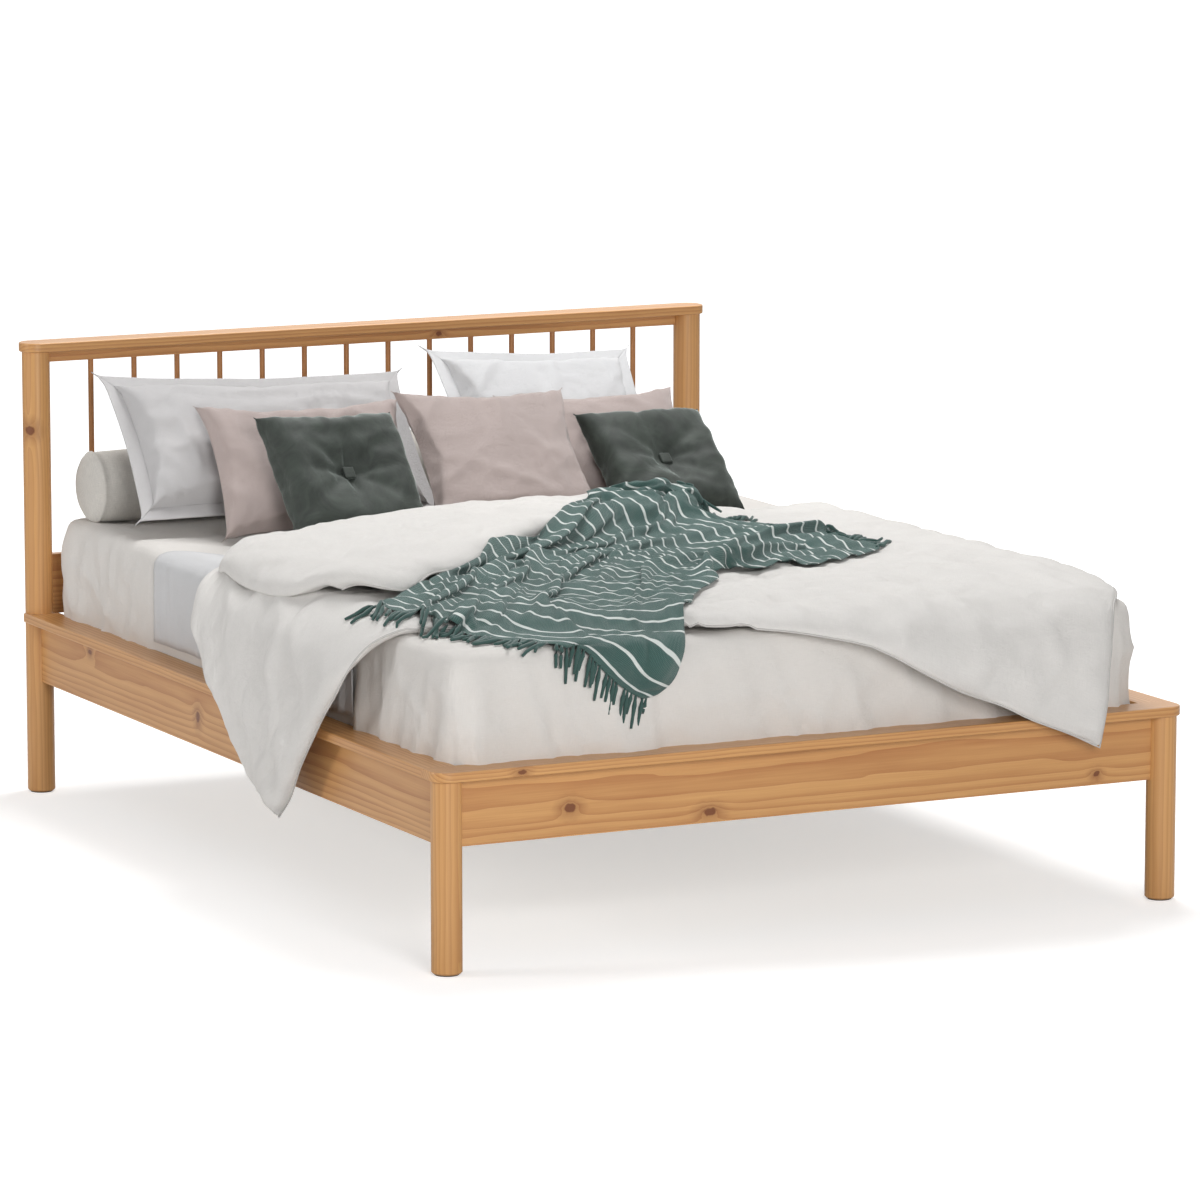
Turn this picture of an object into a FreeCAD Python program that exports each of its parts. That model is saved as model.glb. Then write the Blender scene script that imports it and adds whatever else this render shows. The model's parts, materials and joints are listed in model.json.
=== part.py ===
import FreeCAD, Part
import math
import os

# Spindle bed, king size, shown dressed with its mattress and bedding.
# X runs along the foot rail, the head is towards +Y and the foot towards -Y, Z is up.
# The origin is on the floor, midway between the four corner legs. All sizes are millimetres.

V = FreeCAD.Vector
X_AXIS = V(1, 0, 0)
Y_AXIS = V(0, 1, 0)
Z_AXIS = V(0, 0, 1)

# ---- Driving dimensions: mattress and the opening it drops into ----
mattress_width = 1500.0
mattress_length = 2000.0
mattress_height = 250.0
mattress_corner_radius = 55.0
mattress_edge_radius = 26.0
mattress_gap_side = 6.0
mattress_gap_end = 4.0
mattress_recess = 45.0

# ---- Legs, posts and caps ----
leg_diameter = 60.0
leg_chamfer = 3.0
cap_width = 70.0
cap_thickness = 20.0
cap_overhang = 6.0
cap_edge_round = 3.0
cap_end_flat = 1.0
cap_top_height = 395.0
headboard_height = 985.0
glide_thickness = 3.0
glide_inset = 6.0

# ---- Rails ----
rail_thickness = 25.0
rail_height = 129.0
rail_outset = 7.0
housing_depth = 10.0
housing_fit = 0.1

# ---- Headboard ----
headboard_rail_thickness = 22.0
headboard_setback = 10.0
top_rail_height = 25.0
lower_rail_height = 130.0
lower_rail_gap = 15.0
spindle_count = 14
spindle_diameter = 12.0
spindle_socket = 12.0
spindle_end_chamfer = 1.0

# ---- Slatted base ----
slat_count = 14
slat_width = 70.0
slat_thickness = 20.0
slat_end_gap = 7.0
slat_row_margin = 25.0
ledger_width = 30.0
ledger_height = 30.0
ledger_end_gap = 5.0
beam_width = 40.0
beam_height = 60.0
hanger_thickness = 3.0
hanger_length = 30.0
hanger_height = 42.0
hanger_ear = 14.0
hanger_fit = 0.5
centre_leg_diameter = 40.0
centre_leg_offset = 200.0
centre_stud_radius = 4.0
centre_stud_depth = 30.0

# ---- Steel corner brackets and fasteners ----
bracket_thickness = 3.0
bracket_height = 44.0
bracket_flange = 45.0
bracket_reach = 48.0
bracket_below_ledger = 4.0
bolt_radius = 4.0
bolt_head_radius = 7.5
bolt_head_height = 5.3
bolt_depth = 22.0
screw_radius = 2.0
screw_head_radius = 4.2
screw_head_height = 2.4
bracket_screw_length = 18.0
ledger_screw_length = 45.0
ledger_screw_count = 7
slat_screw_length = 40.0
dowel_radius = 4.0
dowel_length = 30.0
rail_dowel_count = 5

# ---- Soft goods ----
soft_gap = 0.4
sheet_thickness = 1.6
sheet_hem_height = 6.0
flat_sheet_head_inset = 772.0
flat_sheet_foot_inset = 438.0
flat_sheet_right_inset = 110.0
flat_sheet_hang = 185.0
bolster_radius = 80.0
bolster_left_inset = 5.0
bolster_right_inset = 105.0
bolster_from_head = 112.0
bolster_end_round = 16.0
crown_flat = 0.12
crown_power = 1.7
crown_levels = (-1.0, -0.95, -0.8, -0.5, 0.0, 0.5, 0.8, 0.95, 1.0)
seam_bulge = 3.0
flange_width = 38.0
flange_thickness = 3.0
duvet_thickness = 42.0
duvet_edge_round = 15.0
duvet_fold_thickness = 24.0
duvet_drop_thickness = 24.0
duvet_drop_wave = 8.0
duvet_drop_gap = 4.0
duvet_side_lap = 38.0
duvet_foot_lap = 35.0
duvet_left_shoulder = 90.0
duvet_foot_shoulder = 170.0
duvet_right_shoulder = 60.0
duvet_long_folds = 7
duvet_right_folds = 6
hem_top = 720.0
throw_thickness = 8.0
throw_wave = 6.0
throw_wave_count = 26
throw_reach = 1000.0
throw_turn = 35.0
throw_slope = 1.2
throw_head_x = 560.0
throw_head_y = 420.0
throw_lift = 25.8
throw_foot_shoulder = 45.0
throw_foot_folds = 5
button_size = 28.0
button_thickness = 8.0
tuft_radius = 70.0
tuft_depth = 9.0

# ---- Places that follow from the sizes above ----
leg_radius = leg_diameter / 2
half_x = mattress_width / 2 + mattress_gap_side + cap_width - cap_overhang - leg_radius
half_y = (mattress_length + 2 * mattress_gap_end + cap_width - cap_overhang) / 2
mattress_y = (half_y - leg_radius) - mattress_gap_end - mattress_length / 2
mattress_foot = mattress_y - mattress_length / 2
mattress_head = mattress_y + mattress_length / 2
cap_underside = cap_top_height - cap_thickness
rail_bottom = cap_underside - rail_height
lower_rail_bottom = cap_underside + lower_rail_gap
lower_rail_top = lower_rail_bottom + lower_rail_height
cap_outer_x = half_x + leg_radius + cap_overhang
cap_outer_y = half_y + leg_radius + cap_overhang
cap_inner_x = cap_outer_x - cap_width
cap_inner_y = cap_outer_y - cap_width
rail_outer_x = half_x + rail_outset
rail_outer_y = half_y + rail_outset
rail_inner_x = rail_outer_x - rail_thickness
rail_inner_y = rail_outer_y - rail_thickness
rail_end_x = half_x - leg_radius + housing_depth
rail_end_y = half_y - leg_radius + housing_depth
headboard_cap_underside = headboard_height - cap_thickness
top_rail_bottom = headboard_cap_underside - top_rail_height
spindle_y = half_y + headboard_setback
slat_top = cap_top_height - mattress_recess
slat_bottom = slat_top - slat_thickness
ledger_bottom = slat_bottom - ledger_height
bracket_top = ledger_bottom - bracket_below_ledger
bracket_bottom = bracket_top - bracket_height
beam_bottom = slat_bottom - beam_height
mattress_bottom = slat_top + soft_gap
mattress_top = mattress_bottom + mattress_height
skin_step = soft_gap + sheet_thickness
sheet_top = mattress_top + skin_step
pillow_seat = sheet_top + soft_gap
duvet_bottom = sheet_top + skin_step + soft_gap
duvet_top = duvet_bottom + duvet_thickness
fold_top = duvet_top + duvet_fold_thickness
sheet_side_x = mattress_width / 2 + 2 * skin_step + soft_gap
sheet_foot_y = mattress_foot - 2 * skin_step - soft_gap
CORNERS = [(-1, -1), (1, -1), (-1, 1), (1, 1)]


# ---- Small tools ----
def box(x0, x1, y0, y1, z0, z1):
    """A block between two corners, given as low and high values on each axis."""
    return Part.makeBox(x1 - x0, y1 - y0, z1 - z0, V(x0, y0, z0))


def rod(radius, start, end):
    """A round rod between two points."""
    along = end - start
    return Part.makeCylinder(radius, along.Length, start, along)


def prism(points, along):
    """A straight prism on a flat outline of points."""
    return Part.Face(Part.makePolygon(points + points[:1])).extrude(along)


def upright_edges(shape):
    """The edges that run along Z."""
    return [e for e in shape.Edges if e.BoundBox.ZLength > 1 and e.BoundBox.XLength < 0.01
            and e.BoundBox.YLength < 0.01]


def level_edges(shape, z):
    """The edges that lie at one height."""
    return [e for e in shape.Edges if abs(e.BoundBox.ZMin - z) < 0.01 and abs(e.BoundBox.ZMax - z) < 0.01]


def mirrored(shape):
    """The same shape on the other side of the bed."""
    return shape.mirror(V(0, 0, 0), X_AXIS)


def drilled(shape, fasteners):
    """A piece with the holes that its fasteners fill."""
    for fastener in fasteners:
        if shape.BoundBox.intersect(fastener.BoundBox):
            shape = shape.cut(fastener)
    return shape


def countersunk_screw(head_centre, direction, length):
    """A wood screw whose head lies flush with the surface at head_centre."""
    axis = V(direction)
    axis.normalize()
    cone = Part.makeCone(screw_head_radius, screw_radius, screw_head_height, head_centre, axis)
    return cone.fuse(rod(screw_radius, head_centre, head_centre + axis * length)).removeSplitter()


def pan_screw(seat, direction, length):
    """A wood screw whose round head stands on the surface at seat."""
    axis = V(direction)
    axis.normalize()
    head = rod(screw_head_radius, seat - axis * screw_head_height, seat)
    return head.fuse(rod(screw_radius, seat, seat + axis * length)).removeSplitter()


# ---- Boards, before their housings and holes are cut ----
def foot_rail_board():
    return box(-rail_end_x, rail_end_x, -rail_outer_y, -rail_inner_y, rail_bottom, cap_underside)


def head_rail_board():
    return box(-rail_end_x, rail_end_x, rail_inner_y, rail_outer_y, rail_bottom, cap_underside)


def side_rail_board(side):
    low, high = sorted((side * rail_inner_x, side * rail_outer_x))
    return box(low, high, -rail_end_y, rail_end_y, rail_bottom, cap_underside)


def headboard_rail_board(bottom, top):
    """A headboard rail: it is housed in both posts and centred on the row of spindles."""
    half = headboard_rail_thickness / 2
    return box(-rail_end_x, rail_end_x, spindle_y - half, spindle_y + half, bottom, top)


def housing_for(board):
    """The pocket that a board's end needs, a little larger than the board."""
    b = board.BoundBox
    f = housing_fit
    return box(b.XMin - f, b.XMax + f, b.YMin - f, b.YMax + f, b.ZMin - f, b.ZMax)


# ---- Legs and posts ----
def round_leg(x, y, top, housed):
    """A round leg with a chamfered foot, pocketed for the boards that it carries."""
    leg = Part.makeCylinder(leg_radius, top - glide_thickness, V(x, y, glide_thickness), Z_AXIS)
    leg = leg.makeChamfer(leg_chamfer, level_edges(leg, glide_thickness))
    for board in housed:
        leg = leg.cut(housing_for(board))
    return leg


def glide(x, y, radius):
    """A felt disc under a leg."""
    return Part.makeCylinder(radius, glide_thickness, V(x, y, 0), Z_AXIS)


# ---- Caps ----
def rounded_board(x0, x1, y0, y1, z0, z1, corners, radius):
    """A cap board: some corners rounded in plan, and its long edges eased."""
    board = box(x0, x1, y0, y1, z0, z1)
    chosen = [e for e in upright_edges(board)
              if (e.BoundBox.XMin > 0, e.BoundBox.YMin > (y0 + y1) / 2) in corners]
    return board.makeFillet(radius, chosen)


def ease_outer_edges(board, is_outer):
    """Rounds the level edges for which is_outer holds."""
    edges = [e for e in board.Edges if e.BoundBox.ZLength < 0.01 and is_outer(e.BoundBox)]
    return board.makeFillet(cap_edge_round, edges)


def foot_cap_board():
    corner_radius = leg_radius + cap_overhang
    board = rounded_board(-cap_outer_x, cap_outer_x, -cap_outer_y, -cap_inner_y, cap_underside,
                          cap_top_height, [(False, False), (True, False)], corner_radius)
    return ease_outer_edges(board, lambda b: b.YMax < -cap_inner_y - 1)


def side_cap_board(side):
    """A side cap: it butts the foot cap and ends in a notch round the head post."""
    board = box(cap_inner_x, cap_outer_x, -cap_inner_y, half_y, cap_underside, cap_top_height)
    board = ease_outer_edges(board, lambda b: b.XMin > cap_outer_x - 1)
    post = Part.makeCylinder(leg_radius + housing_fit, headboard_height, V(half_x, half_y, 0), Z_AXIS)
    sliver = box(cap_inner_x - 1, half_x, half_y - leg_radius, half_y + 1, 0, headboard_height)
    board = board.cut(post).cut(sliver)
    return board if side > 0 else mirrored(board)


def headboard_cap_board():
    every_corner = [(False, False), (True, False), (False, True), (True, True)]
    board = rounded_board(-cap_outer_x, cap_outer_x, half_y - leg_radius - cap_overhang, cap_outer_y,
                          headboard_cap_underside, headboard_height, every_corner,
                          leg_radius + cap_overhang - cap_end_flat)
    return ease_outer_edges(board, lambda b: True)


# ---- Dowels that hold the caps down ----
def cap_dowels():
    """Upright dowels, half in the cap and half in what is under it."""
    half = dowel_length / 2
    seats = []
    for side, end in CORNERS:
        top = cap_underside if end < 0 else headboard_cap_underside
        seats.append((side * half_x, end * half_y, top))
    for i in range(rail_dowel_count):
        share = (i + 0.5) / rail_dowel_count * 2 - 1
        foot_y = -(rail_outer_y + rail_inner_y) / 2
        seats.append((share * rail_end_x, foot_y, cap_underside))
        seats.append(((share * rail_end_x), spindle_y, headboard_cap_underside))
        for side in (-1, 1):
            rail_x = side * (rail_outer_x + rail_inner_x) / 2
            seats.append((rail_x, share * (cap_inner_y - dowel_length), cap_underside))
    return [rod(dowel_radius, V(x, y, z - half), V(x, y, z + cap_thickness / 2)) for x, y, z in seats]


# ---- Headboard ----
def spindle_places():
    """The spindles share the clear width between the posts evenly."""
    clear = 2 * (half_x - leg_radius)
    pitch = clear / (spindle_count + 1)
    return [-clear / 2 + pitch * (i + 1) for i in range(spindle_count)]


def spindle(x):
    """A turned rod whose ends sit in blind sockets in the two rails."""
    low = lower_rail_top - spindle_socket
    high = top_rail_bottom + spindle_socket
    piece = rod(spindle_diameter / 2, V(x, spindle_y, low), V(x, spindle_y, high))
    return piece.makeChamfer(spindle_end_chamfer, level_edges(piece, low) + level_edges(piece, high))


def spindle_socket_hole(x):
    radius = spindle_diameter / 2 + housing_fit
    low = lower_rail_top - spindle_socket
    high = top_rail_bottom + spindle_socket
    return rod(radius, V(x, spindle_y, low), V(x, spindle_y, high))


# ---- Slatted base ----
def ledger(side):
    low, high = sorted((side * (rail_inner_x - ledger_width), side * rail_inner_x))
    end = half_y - leg_radius - ledger_end_gap
    return box(low, high, -end, end, ledger_bottom, slat_bottom)


def slat_places():
    end = half_y - leg_radius - slat_row_margin - slat_width / 2
    return [-end + 2 * end * i / (slat_count - 1) for i in range(slat_count)]


def slat(y):
    end = rail_inner_x - slat_end_gap
    return box(-end, end, y - slat_width / 2, y + slat_width / 2, slat_bottom, slat_top)


def slat_screws():
    """One screw down through each end of every slat into the ledger."""
    x = rail_inner_x - ledger_width / 2
    return [countersunk_screw(V(side * x, y, slat_top), V(0, 0, -1), slat_screw_length)
            for y in slat_places() for side in (-1, 1)]


def ledger_screws():
    """A row of screws through each ledger into its side rail."""
    end = half_y - leg_radius - 3 * ledger_width
    z = ledger_bottom + ledger_height / 3
    screws = []
    for side in (-1, 1):
        for i in range(ledger_screw_count):
            y = -end + 2 * end * i / (ledger_screw_count - 1)
            head = V(side * (rail_inner_x - ledger_width), y, z)
            screws.append(countersunk_screw(head, V(side, 0, 0), ledger_screw_length))
    return screws


def centre_beam():
    end = rail_inner_y - hanger_thickness - hanger_fit
    return box(-beam_width / 2, beam_width / 2, -end, end, beam_bottom, slat_bottom)


def beam_hanger(end):
    """A steel shoe with two ears, screwed to the end rail, that carries one end of the beam."""
    half = beam_width / 2 + hanger_fit
    outer = half + hanger_thickness
    back = rail_inner_y - hanger_thickness
    far = back - hanger_length
    low = beam_bottom - hanger_thickness
    high = beam_bottom + hanger_height
    shoe = box(-outer, outer, far, back, low, high)
    shoe = shoe.cut(box(-half, half, far - 1, back, beam_bottom, high + 1))
    shoe = shoe.fuse(box(-outer - hanger_ear, outer + hanger_ear, back, rail_inner_y, low, high))
    return shoe.removeSplitter() if end > 0 else shoe.removeSplitter().mirror(V(0, 0, 0), Y_AXIS)


def hanger_screws(end):
    """A screw through each ear of a hanger."""
    x = beam_width / 2 + hanger_fit + hanger_thickness + hanger_ear / 2
    seat_y = end * (rail_inner_y - hanger_thickness)
    z = beam_bottom + hanger_height / 2
    return [pan_screw(V(side * x, seat_y, z), V(0, end, 0), bracket_screw_length) for side in (-1, 1)]


def centre_leg():
    return Part.makeCylinder(centre_leg_diameter / 2, beam_bottom - glide_thickness,
                             V(0, centre_leg_offset, glide_thickness), Z_AXIS)


def centre_stud():
    """The stud that joins the centre leg to the beam."""
    base = V(0, centre_leg_offset, beam_bottom)
    return rod(centre_stud_radius, base - Z_AXIS * centre_stud_depth, base + Z_AXIS * centre_stud_depth)


# ---- Corner brackets ----
def corner_point(side, end, inward_x, inward_y, z):
    """A point given by how far it lies inside a leg's centre lines."""
    return V(side * (half_x - inward_x), end * (half_y - inward_y), z)


def corner_bracket(side, end):
    """A bent steel plate across a corner, with a flange on each rail."""
    near = rail_thickness - rail_outset
    bend = bracket_reach * math.sqrt(2) - near
    tip = bend + bracket_flange
    t = bracket_thickness
    inner_bend = bend + t * (math.sqrt(2) - 1)
    plan = [(near, tip), (near, bend), (bend, near), (tip, near),
            (tip, near + t), (inner_bend, near + t), (near + t, inner_bend), (near + t, tip)]
    outline = [corner_point(side, end, px, py, bracket_bottom) for px, py in plan]
    return prism(outline, Z_AXIS * bracket_height)


def diagonal(side, end):
    """The level direction from a bracket out to its leg."""
    return V(side / math.sqrt(2), end / math.sqrt(2), 0)


def leg_bolt(side, end):
    """A bolt through a bracket into its leg, head on the inside."""
    centre = corner_point(side, end, 0, 0, bracket_bottom + bracket_height / 2)
    out = diagonal(side, end)
    seat = centre - out * (bracket_reach + bracket_thickness)
    tip = centre - out * (leg_radius - bolt_depth)
    head = rod(bolt_head_radius, seat - out * bolt_head_height, seat)
    return head.fuse(rod(bolt_radius, seat, tip)).removeSplitter()


def bracket_screws(side, end):
    """Two screws in each flange of a bracket."""
    near = rail_thickness - rail_outset + bracket_thickness
    bend = bracket_reach * math.sqrt(2) - (rail_thickness - rail_outset)
    along = bend + bracket_flange / 2
    screws = []
    for z in (bracket_bottom + bracket_height / 4, bracket_top - bracket_height / 4):
        on_side_rail = corner_point(side, end, near, along, z)
        on_end_rail = corner_point(side, end, along, near, z)
        screws.append(pan_screw(on_side_rail, V(side, 0, 0), bracket_screw_length))
        screws.append(pan_screw(on_end_rail, V(0, end, 0), bracket_screw_length))
    return screws


# ---- Mattress and sheets ----
def mattress_block(growth):
    """The mattress's rounded block, grown on every side but its underside."""
    half = mattress_width / 2 + growth
    foot = mattress_foot - growth
    head = mattress_head + growth
    block = box(-half, half, foot, head, mattress_bottom, mattress_top + growth)
    block = block.makeFillet(mattress_corner_radius + growth, upright_edges(block))
    rims = level_edges(block, mattress_top + growth)
    if growth == 0:
        rims = rims + level_edges(block, mattress_bottom)
    return block.makeFillet(mattress_edge_radius + growth, rims)


def skin(layer):
    """The layer-th sheet over the mattress, open underneath."""
    inner = mattress_block(soft_gap + (layer - 1) * skin_step)
    outer = mattress_block(layer * skin_step)
    hem = box(-half_x, half_x, -half_y, half_y, 0, mattress_bottom + sheet_hem_height)
    return outer.cut(inner).cut(hem)


def flat_sheet():
    """The upper sheet: it shows beside the duvet and hangs down the left side."""
    low = mattress_top - flat_sheet_hang
    right = mattress_width / 2 - flat_sheet_right_inset
    foot = mattress_foot + flat_sheet_foot_inset
    head = mattress_head - flat_sheet_head_inset
    window = box(-half_x, right, foot, head, low, fold_top)
    return skin(2).common(window)


# ---- Places of the bedding ----
# The bedding is drawn for a mattress of this width, foot end, head end and top height.
DRAWN_WIDTH, DRAWN_FOOT, DRAWN_HEAD, DRAWN_TOP = (1500.0, -998.0, 1002.0, 600.4)
# In between these two places, the bedding stretches with the mattress.
STRETCH_FOOT, STRETCH_HEAD = (-500.0, 0.0)
drawn_scale = mattress_width / DRAWN_WIDTH


def at_x(x):
    """A drawn place across the bed, on this bed."""
    return x * drawn_scale


def at_y(y):
    """A drawn place along the bed: it keeps its distance from the nearer end of the mattress."""
    from_head = mattress_head - (DRAWN_HEAD - y) * drawn_scale
    from_foot = mattress_foot + (y - DRAWN_FOOT) * drawn_scale
    share = min(1, max(0, (y - STRETCH_FOOT) / (STRETCH_HEAD - STRETCH_FOOT)))
    return from_foot + (from_head - from_foot) * share


def at_z(z):
    """A drawn height, which keeps its distance from the mattress's top."""
    return mattress_top - (DRAWN_TOP - z) * drawn_scale


def on_plan(outline):
    return [(at_x(x), at_y(y)) for x, y in outline]


# ---- Pillows and cushions ----
def pulled_outline(width, height, sag, depth):
    """Four arcs between four corners. A positive sag draws the sides in."""
    w = width / 2
    h = height / 2
    corners = [V(-w, depth, -h), V(w, depth, -h), V(w, depth, h), V(-w, depth, h)]
    middles = [V(0, depth, sag - h), V(w - sag, depth, 0), V(0, depth, h - sag), V(sag - w, depth, 0)]
    edges = []
    for i in range(4):
        edges.append(Part.Arc(corners[i], middles[i], corners[(i + 1) % 4]).toShape())
    return Part.Wire(edges)


def stuffed(width, height, thickness, draw_in):
    """A crowned pillow: its sides are drawn in between pointed corners."""
    wires = []
    for level in crown_levels:
        share = max(crown_flat, math.sqrt(1 - abs(level) ** crown_power))
        sag = draw_in * (1 - seam_bulge * level * level)
        wires.append(pulled_outline(width * share, height * share, sag * share, level * thickness / 2))
    return Part.makeLoft(wires, True, False)


def flanged(width, height, thickness, draw_in):
    """A pillow in a cover with a flat border, as wide and high as its border."""
    core = stuffed(width - 2 * flange_width, height - 2 * flange_width, thickness, draw_in)
    border = Part.Face(pulled_outline(width, height, draw_in, -flange_thickness / 2))
    return core.fuse(border.extrude(Y_AXIS * flange_thickness))


def tufted(width, height, thickness, draw_in):
    """A cushion pulled in at its middle, where a button is sewn through."""
    cushion = stuffed(width, height, thickness, draw_in)
    for face in (-1, 1):
        centre = V(0, face * (thickness / 2 + tuft_radius - tuft_depth), 0)
        cushion = cushion.cut(Part.makeSphere(tuft_radius, centre))
    return cushion


def turned(shape, yaw, lean, roll):
    """Turns an upright cushion: roll in its own plane, lean back, then yaw about Z."""
    shape.rotate(V(0, 0, 0), Y_AXIS, -roll)
    shape.rotate(V(0, 0, 0), X_AXIS, -lean)
    shape.rotate(V(0, 0, 0), Z_AXIS, yaw)
    return shape


def leaning(shape, x, y, yaw, lean, roll):
    """Turns a cushion, moves its middle to x and y, and stands it on the bed."""
    shape = turned(shape, yaw, lean, roll)
    shape.translate(V(x, y, 0))
    lowest = shape.optimalBoundingBox(False).ZMin
    shape.translate(V(0, 0, pillow_seat - lowest))
    return shape


# name: maker, width, height, thickness, draw-in, x, y, yaw, lean, roll
PILLOWS = {
    "oxford_pillow_left": (flanged, 735, 425, 118, 13, -365, 744, 0, 45, -3),
    "oxford_pillow_right": (flanged, 530, 450, 112, 12, 328, 786, 2, 45, -4),
    "mauve_pillow_left": (stuffed, 470, 350, 84, 15, -352, 562, -8, 40, 0),
    "mauve_pillow_centre": (stuffed, 420, 365, 90, 14, 53, 484, 2, 42, -3),
    "mauve_pillow_right": (stuffed, 440, 335, 84, 13, 356, 588, -2, 42, 0),
    "velvet_cushion_left": (tufted, 350, 320, 96, 9, -340, 418, 10, 38, -3),
    "velvet_cushion_right": (tufted, 330, 300, 92, 9, 422, 446, 8, 46, -3),
}


def sized_pillow(name):
    """A pillow's values at this bed's size: its maker, its four sizes, its place and its turns."""
    maker, width, height, thickness, draw_in, x, y, yaw, lean, roll = PILLOWS[name]
    sizes = [size * drawn_scale for size in (width, height, thickness, draw_in)]
    return maker, sizes, (at_x(x), at_y(y)), (yaw, lean, roll)


def pillow(name):
    maker, sizes, place, turns = sized_pillow(name)
    return leaning(maker(*sizes), *place, *turns)


def button(name):
    """The square button in the front dimple of a velvet cushion."""
    maker, sizes, (x, y), turns = sized_pillow(name)
    thickness = sizes[2]
    half = button_size / 2
    dimple_rise = tuft_radius - math.sqrt(tuft_radius ** 2 - 2 * half ** 2)
    seat = -thickness / 2 + tuft_depth - dimple_rise - soft_gap
    block = box(-half, half, seat - button_thickness, seat, -half, half)
    block = block.makeFillet(button_thickness / 3, [e for e in block.Edges if e.BoundBox.YMax < seat - 1])
    marker = turned(maker(*sizes), *turns)
    marker.translate(V(x, y, 0))
    lift = pillow_seat - marker.optimalBoundingBox(False).ZMin
    block = turned(block, *turns)
    block.translate(V(x, y, lift))
    return block


def bolster():
    """A long round cushion lying across the bed in front of the headboard."""
    left = bolster_left_inset - mattress_width / 2
    length = mattress_width - bolster_left_inset - bolster_right_inset
    start = V(left, mattress_head - bolster_from_head, pillow_seat + bolster_radius)
    roll = Part.makeCylinder(bolster_radius, length, start, X_AXIS)
    return roll.makeFillet(bolster_end_round, [e for e in roll.Edges if e.BoundBox.XLength < 0.01])


# ---- Duvet and throw ----
def slab(plan, bottom, top, edge_round):
    """A padded layer on a plan outline, with its upper rim rounded."""
    layer = prism([V(x, y, bottom) for x, y in plan], Z_AXIS * (top - bottom))
    return layer.makeFillet(edge_round, level_edges(layer, top))


def wavy_sheet(start, end, out, wave, folds, thickness, low, high):
    """An upright wavy strip along X whose folds alternate, from one height to another."""
    step = (end - start) / folds
    edges = []
    for i in range(folds):
        a = start + i * step
        swing = wave if i % 2 else -wave
        edges.append(Part.Arc(V(a, -out, low), V(a + step / 2, -out + swing, low), V(a + step, -out, low)))
    near = [e.toShape() for e in edges]
    far = [e.translated(V(0, -thickness, 0)) for e in near]
    ends = [Part.makeLine(V(x, -out, low), V(x, -out - thickness, low)) for x in (start, end)]
    outline = Part.Wire(Part.__sortEdges__(near + far + ends))
    return Part.Face(outline).extrude(Z_AXIS * (high - low))


def falling_arc(x, level_out, top, hang_out, knee):
    """An arc that leaves the bed level at level_out and falls to the knee at hang_out."""
    run = hang_out - level_out
    fall = top - knee
    radius = (run * run + fall * fall) / (2 * fall)
    half_turn = math.atan2(run, radius - fall) / 2
    middle = V(x, -level_out - radius * math.sin(half_turn), top - radius * (1 - math.cos(half_turn)))
    return Part.Arc(V(x, -level_out, top), middle, V(x, -hang_out, knee)).toShape()


def drop(hem, inner_out, hang_out, top, thickness, wave, folds, shoulder):
    """A part that falls over an edge of the bed, built with the edge along X and outside at -Y.

    hem is the outline seen from outside, as pairs of distance along the edge and height."""
    start = min(s for s, z in hem)
    end = max(s for s, z in hem)
    low = min(z for s, z in hem)
    knee = top - shoulder
    curtain = wavy_sheet(start, end, hang_out + wave, wave, folds, thickness, low, knee + wave)
    reach = hang_out + wave
    inner = falling_arc(start, inner_out, top - thickness, reach, knee)
    outer = falling_arc(start, inner_out, top, reach + thickness, knee)
    lines = [Part.makeLine(V(start, -reach, knee), V(start, -reach - thickness, knee)),
             Part.makeLine(V(start, -inner_out, top), V(start, -inner_out, top - thickness))]
    bend = Part.Face(Part.Wire(Part.__sortEdges__([inner, outer] + lines))).extrude(X_AXIS * (end - start))
    outline = [V(s, 0, z) for s, z in hem]
    window = prism(outline, V(0, -2 * half_y, 0))
    return curtain.fuse(bend).common(window)


def on_left(shape):
    """Turns a drop to the left side, where X along the edge becomes -Y."""
    shape.rotate(V(0, 0, 0), Z_AXIS, -90)
    return shape


def on_right(shape):
    """Turns a drop to the right side, where X along the edge becomes +Y."""
    shape.rotate(V(0, 0, 0), Z_AXIS, 90)
    return shape


DUVET_PLAN = [(-738, 60), (-570, 150), (-380, 235), (-200, 288), (100, 292), (500, 285), (738, 300),
              (738, -560), (690, -985), (-250, -985), (-500, -830), (-738, -655)]
FOLD_PLAN = [(-736, 58), (-570, 147), (-380, 231), (-200, 284), (100, 288), (330, 284), (290, 110),
             (-70, 40), (-400, -290), (-600, -345), (-736, -200)]
LEFT_HEM = [(-106, hem_top), (-106, 590), (-5, 472), (70, 401), (169, 315), (381, 212), (490, 328),
            (588, 433), (690, 560), (720, hem_top)]
FOOT_HEM = [(-250, hem_top), (-250, 640), (-45, 609), (139, 564), (298, 481), (457, 414), (611, 346),
            (650, 470), (678, 610), (678, hem_top)]
RIGHT_HEM = [(-560, hem_top), (-560, 600), (-300, 480), (0, 452), (180, 470), (290, 590), (290, hem_top)]
THROW_PLAN = [(370, 270), (470, 255), (520, -370), (330, -450), (160, -600), (15, -530), (-200, -900),
              (-270, -985), (-610, -985), (-735, -610), (-600, -500), (-350, -270), (50, 140)]
THROW_HEM = [(-610, hem_top), (-600, 630), (-480, 590), (-366, 500), (-285, 560), (-262, 640),
             (-262, hem_top)]


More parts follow.
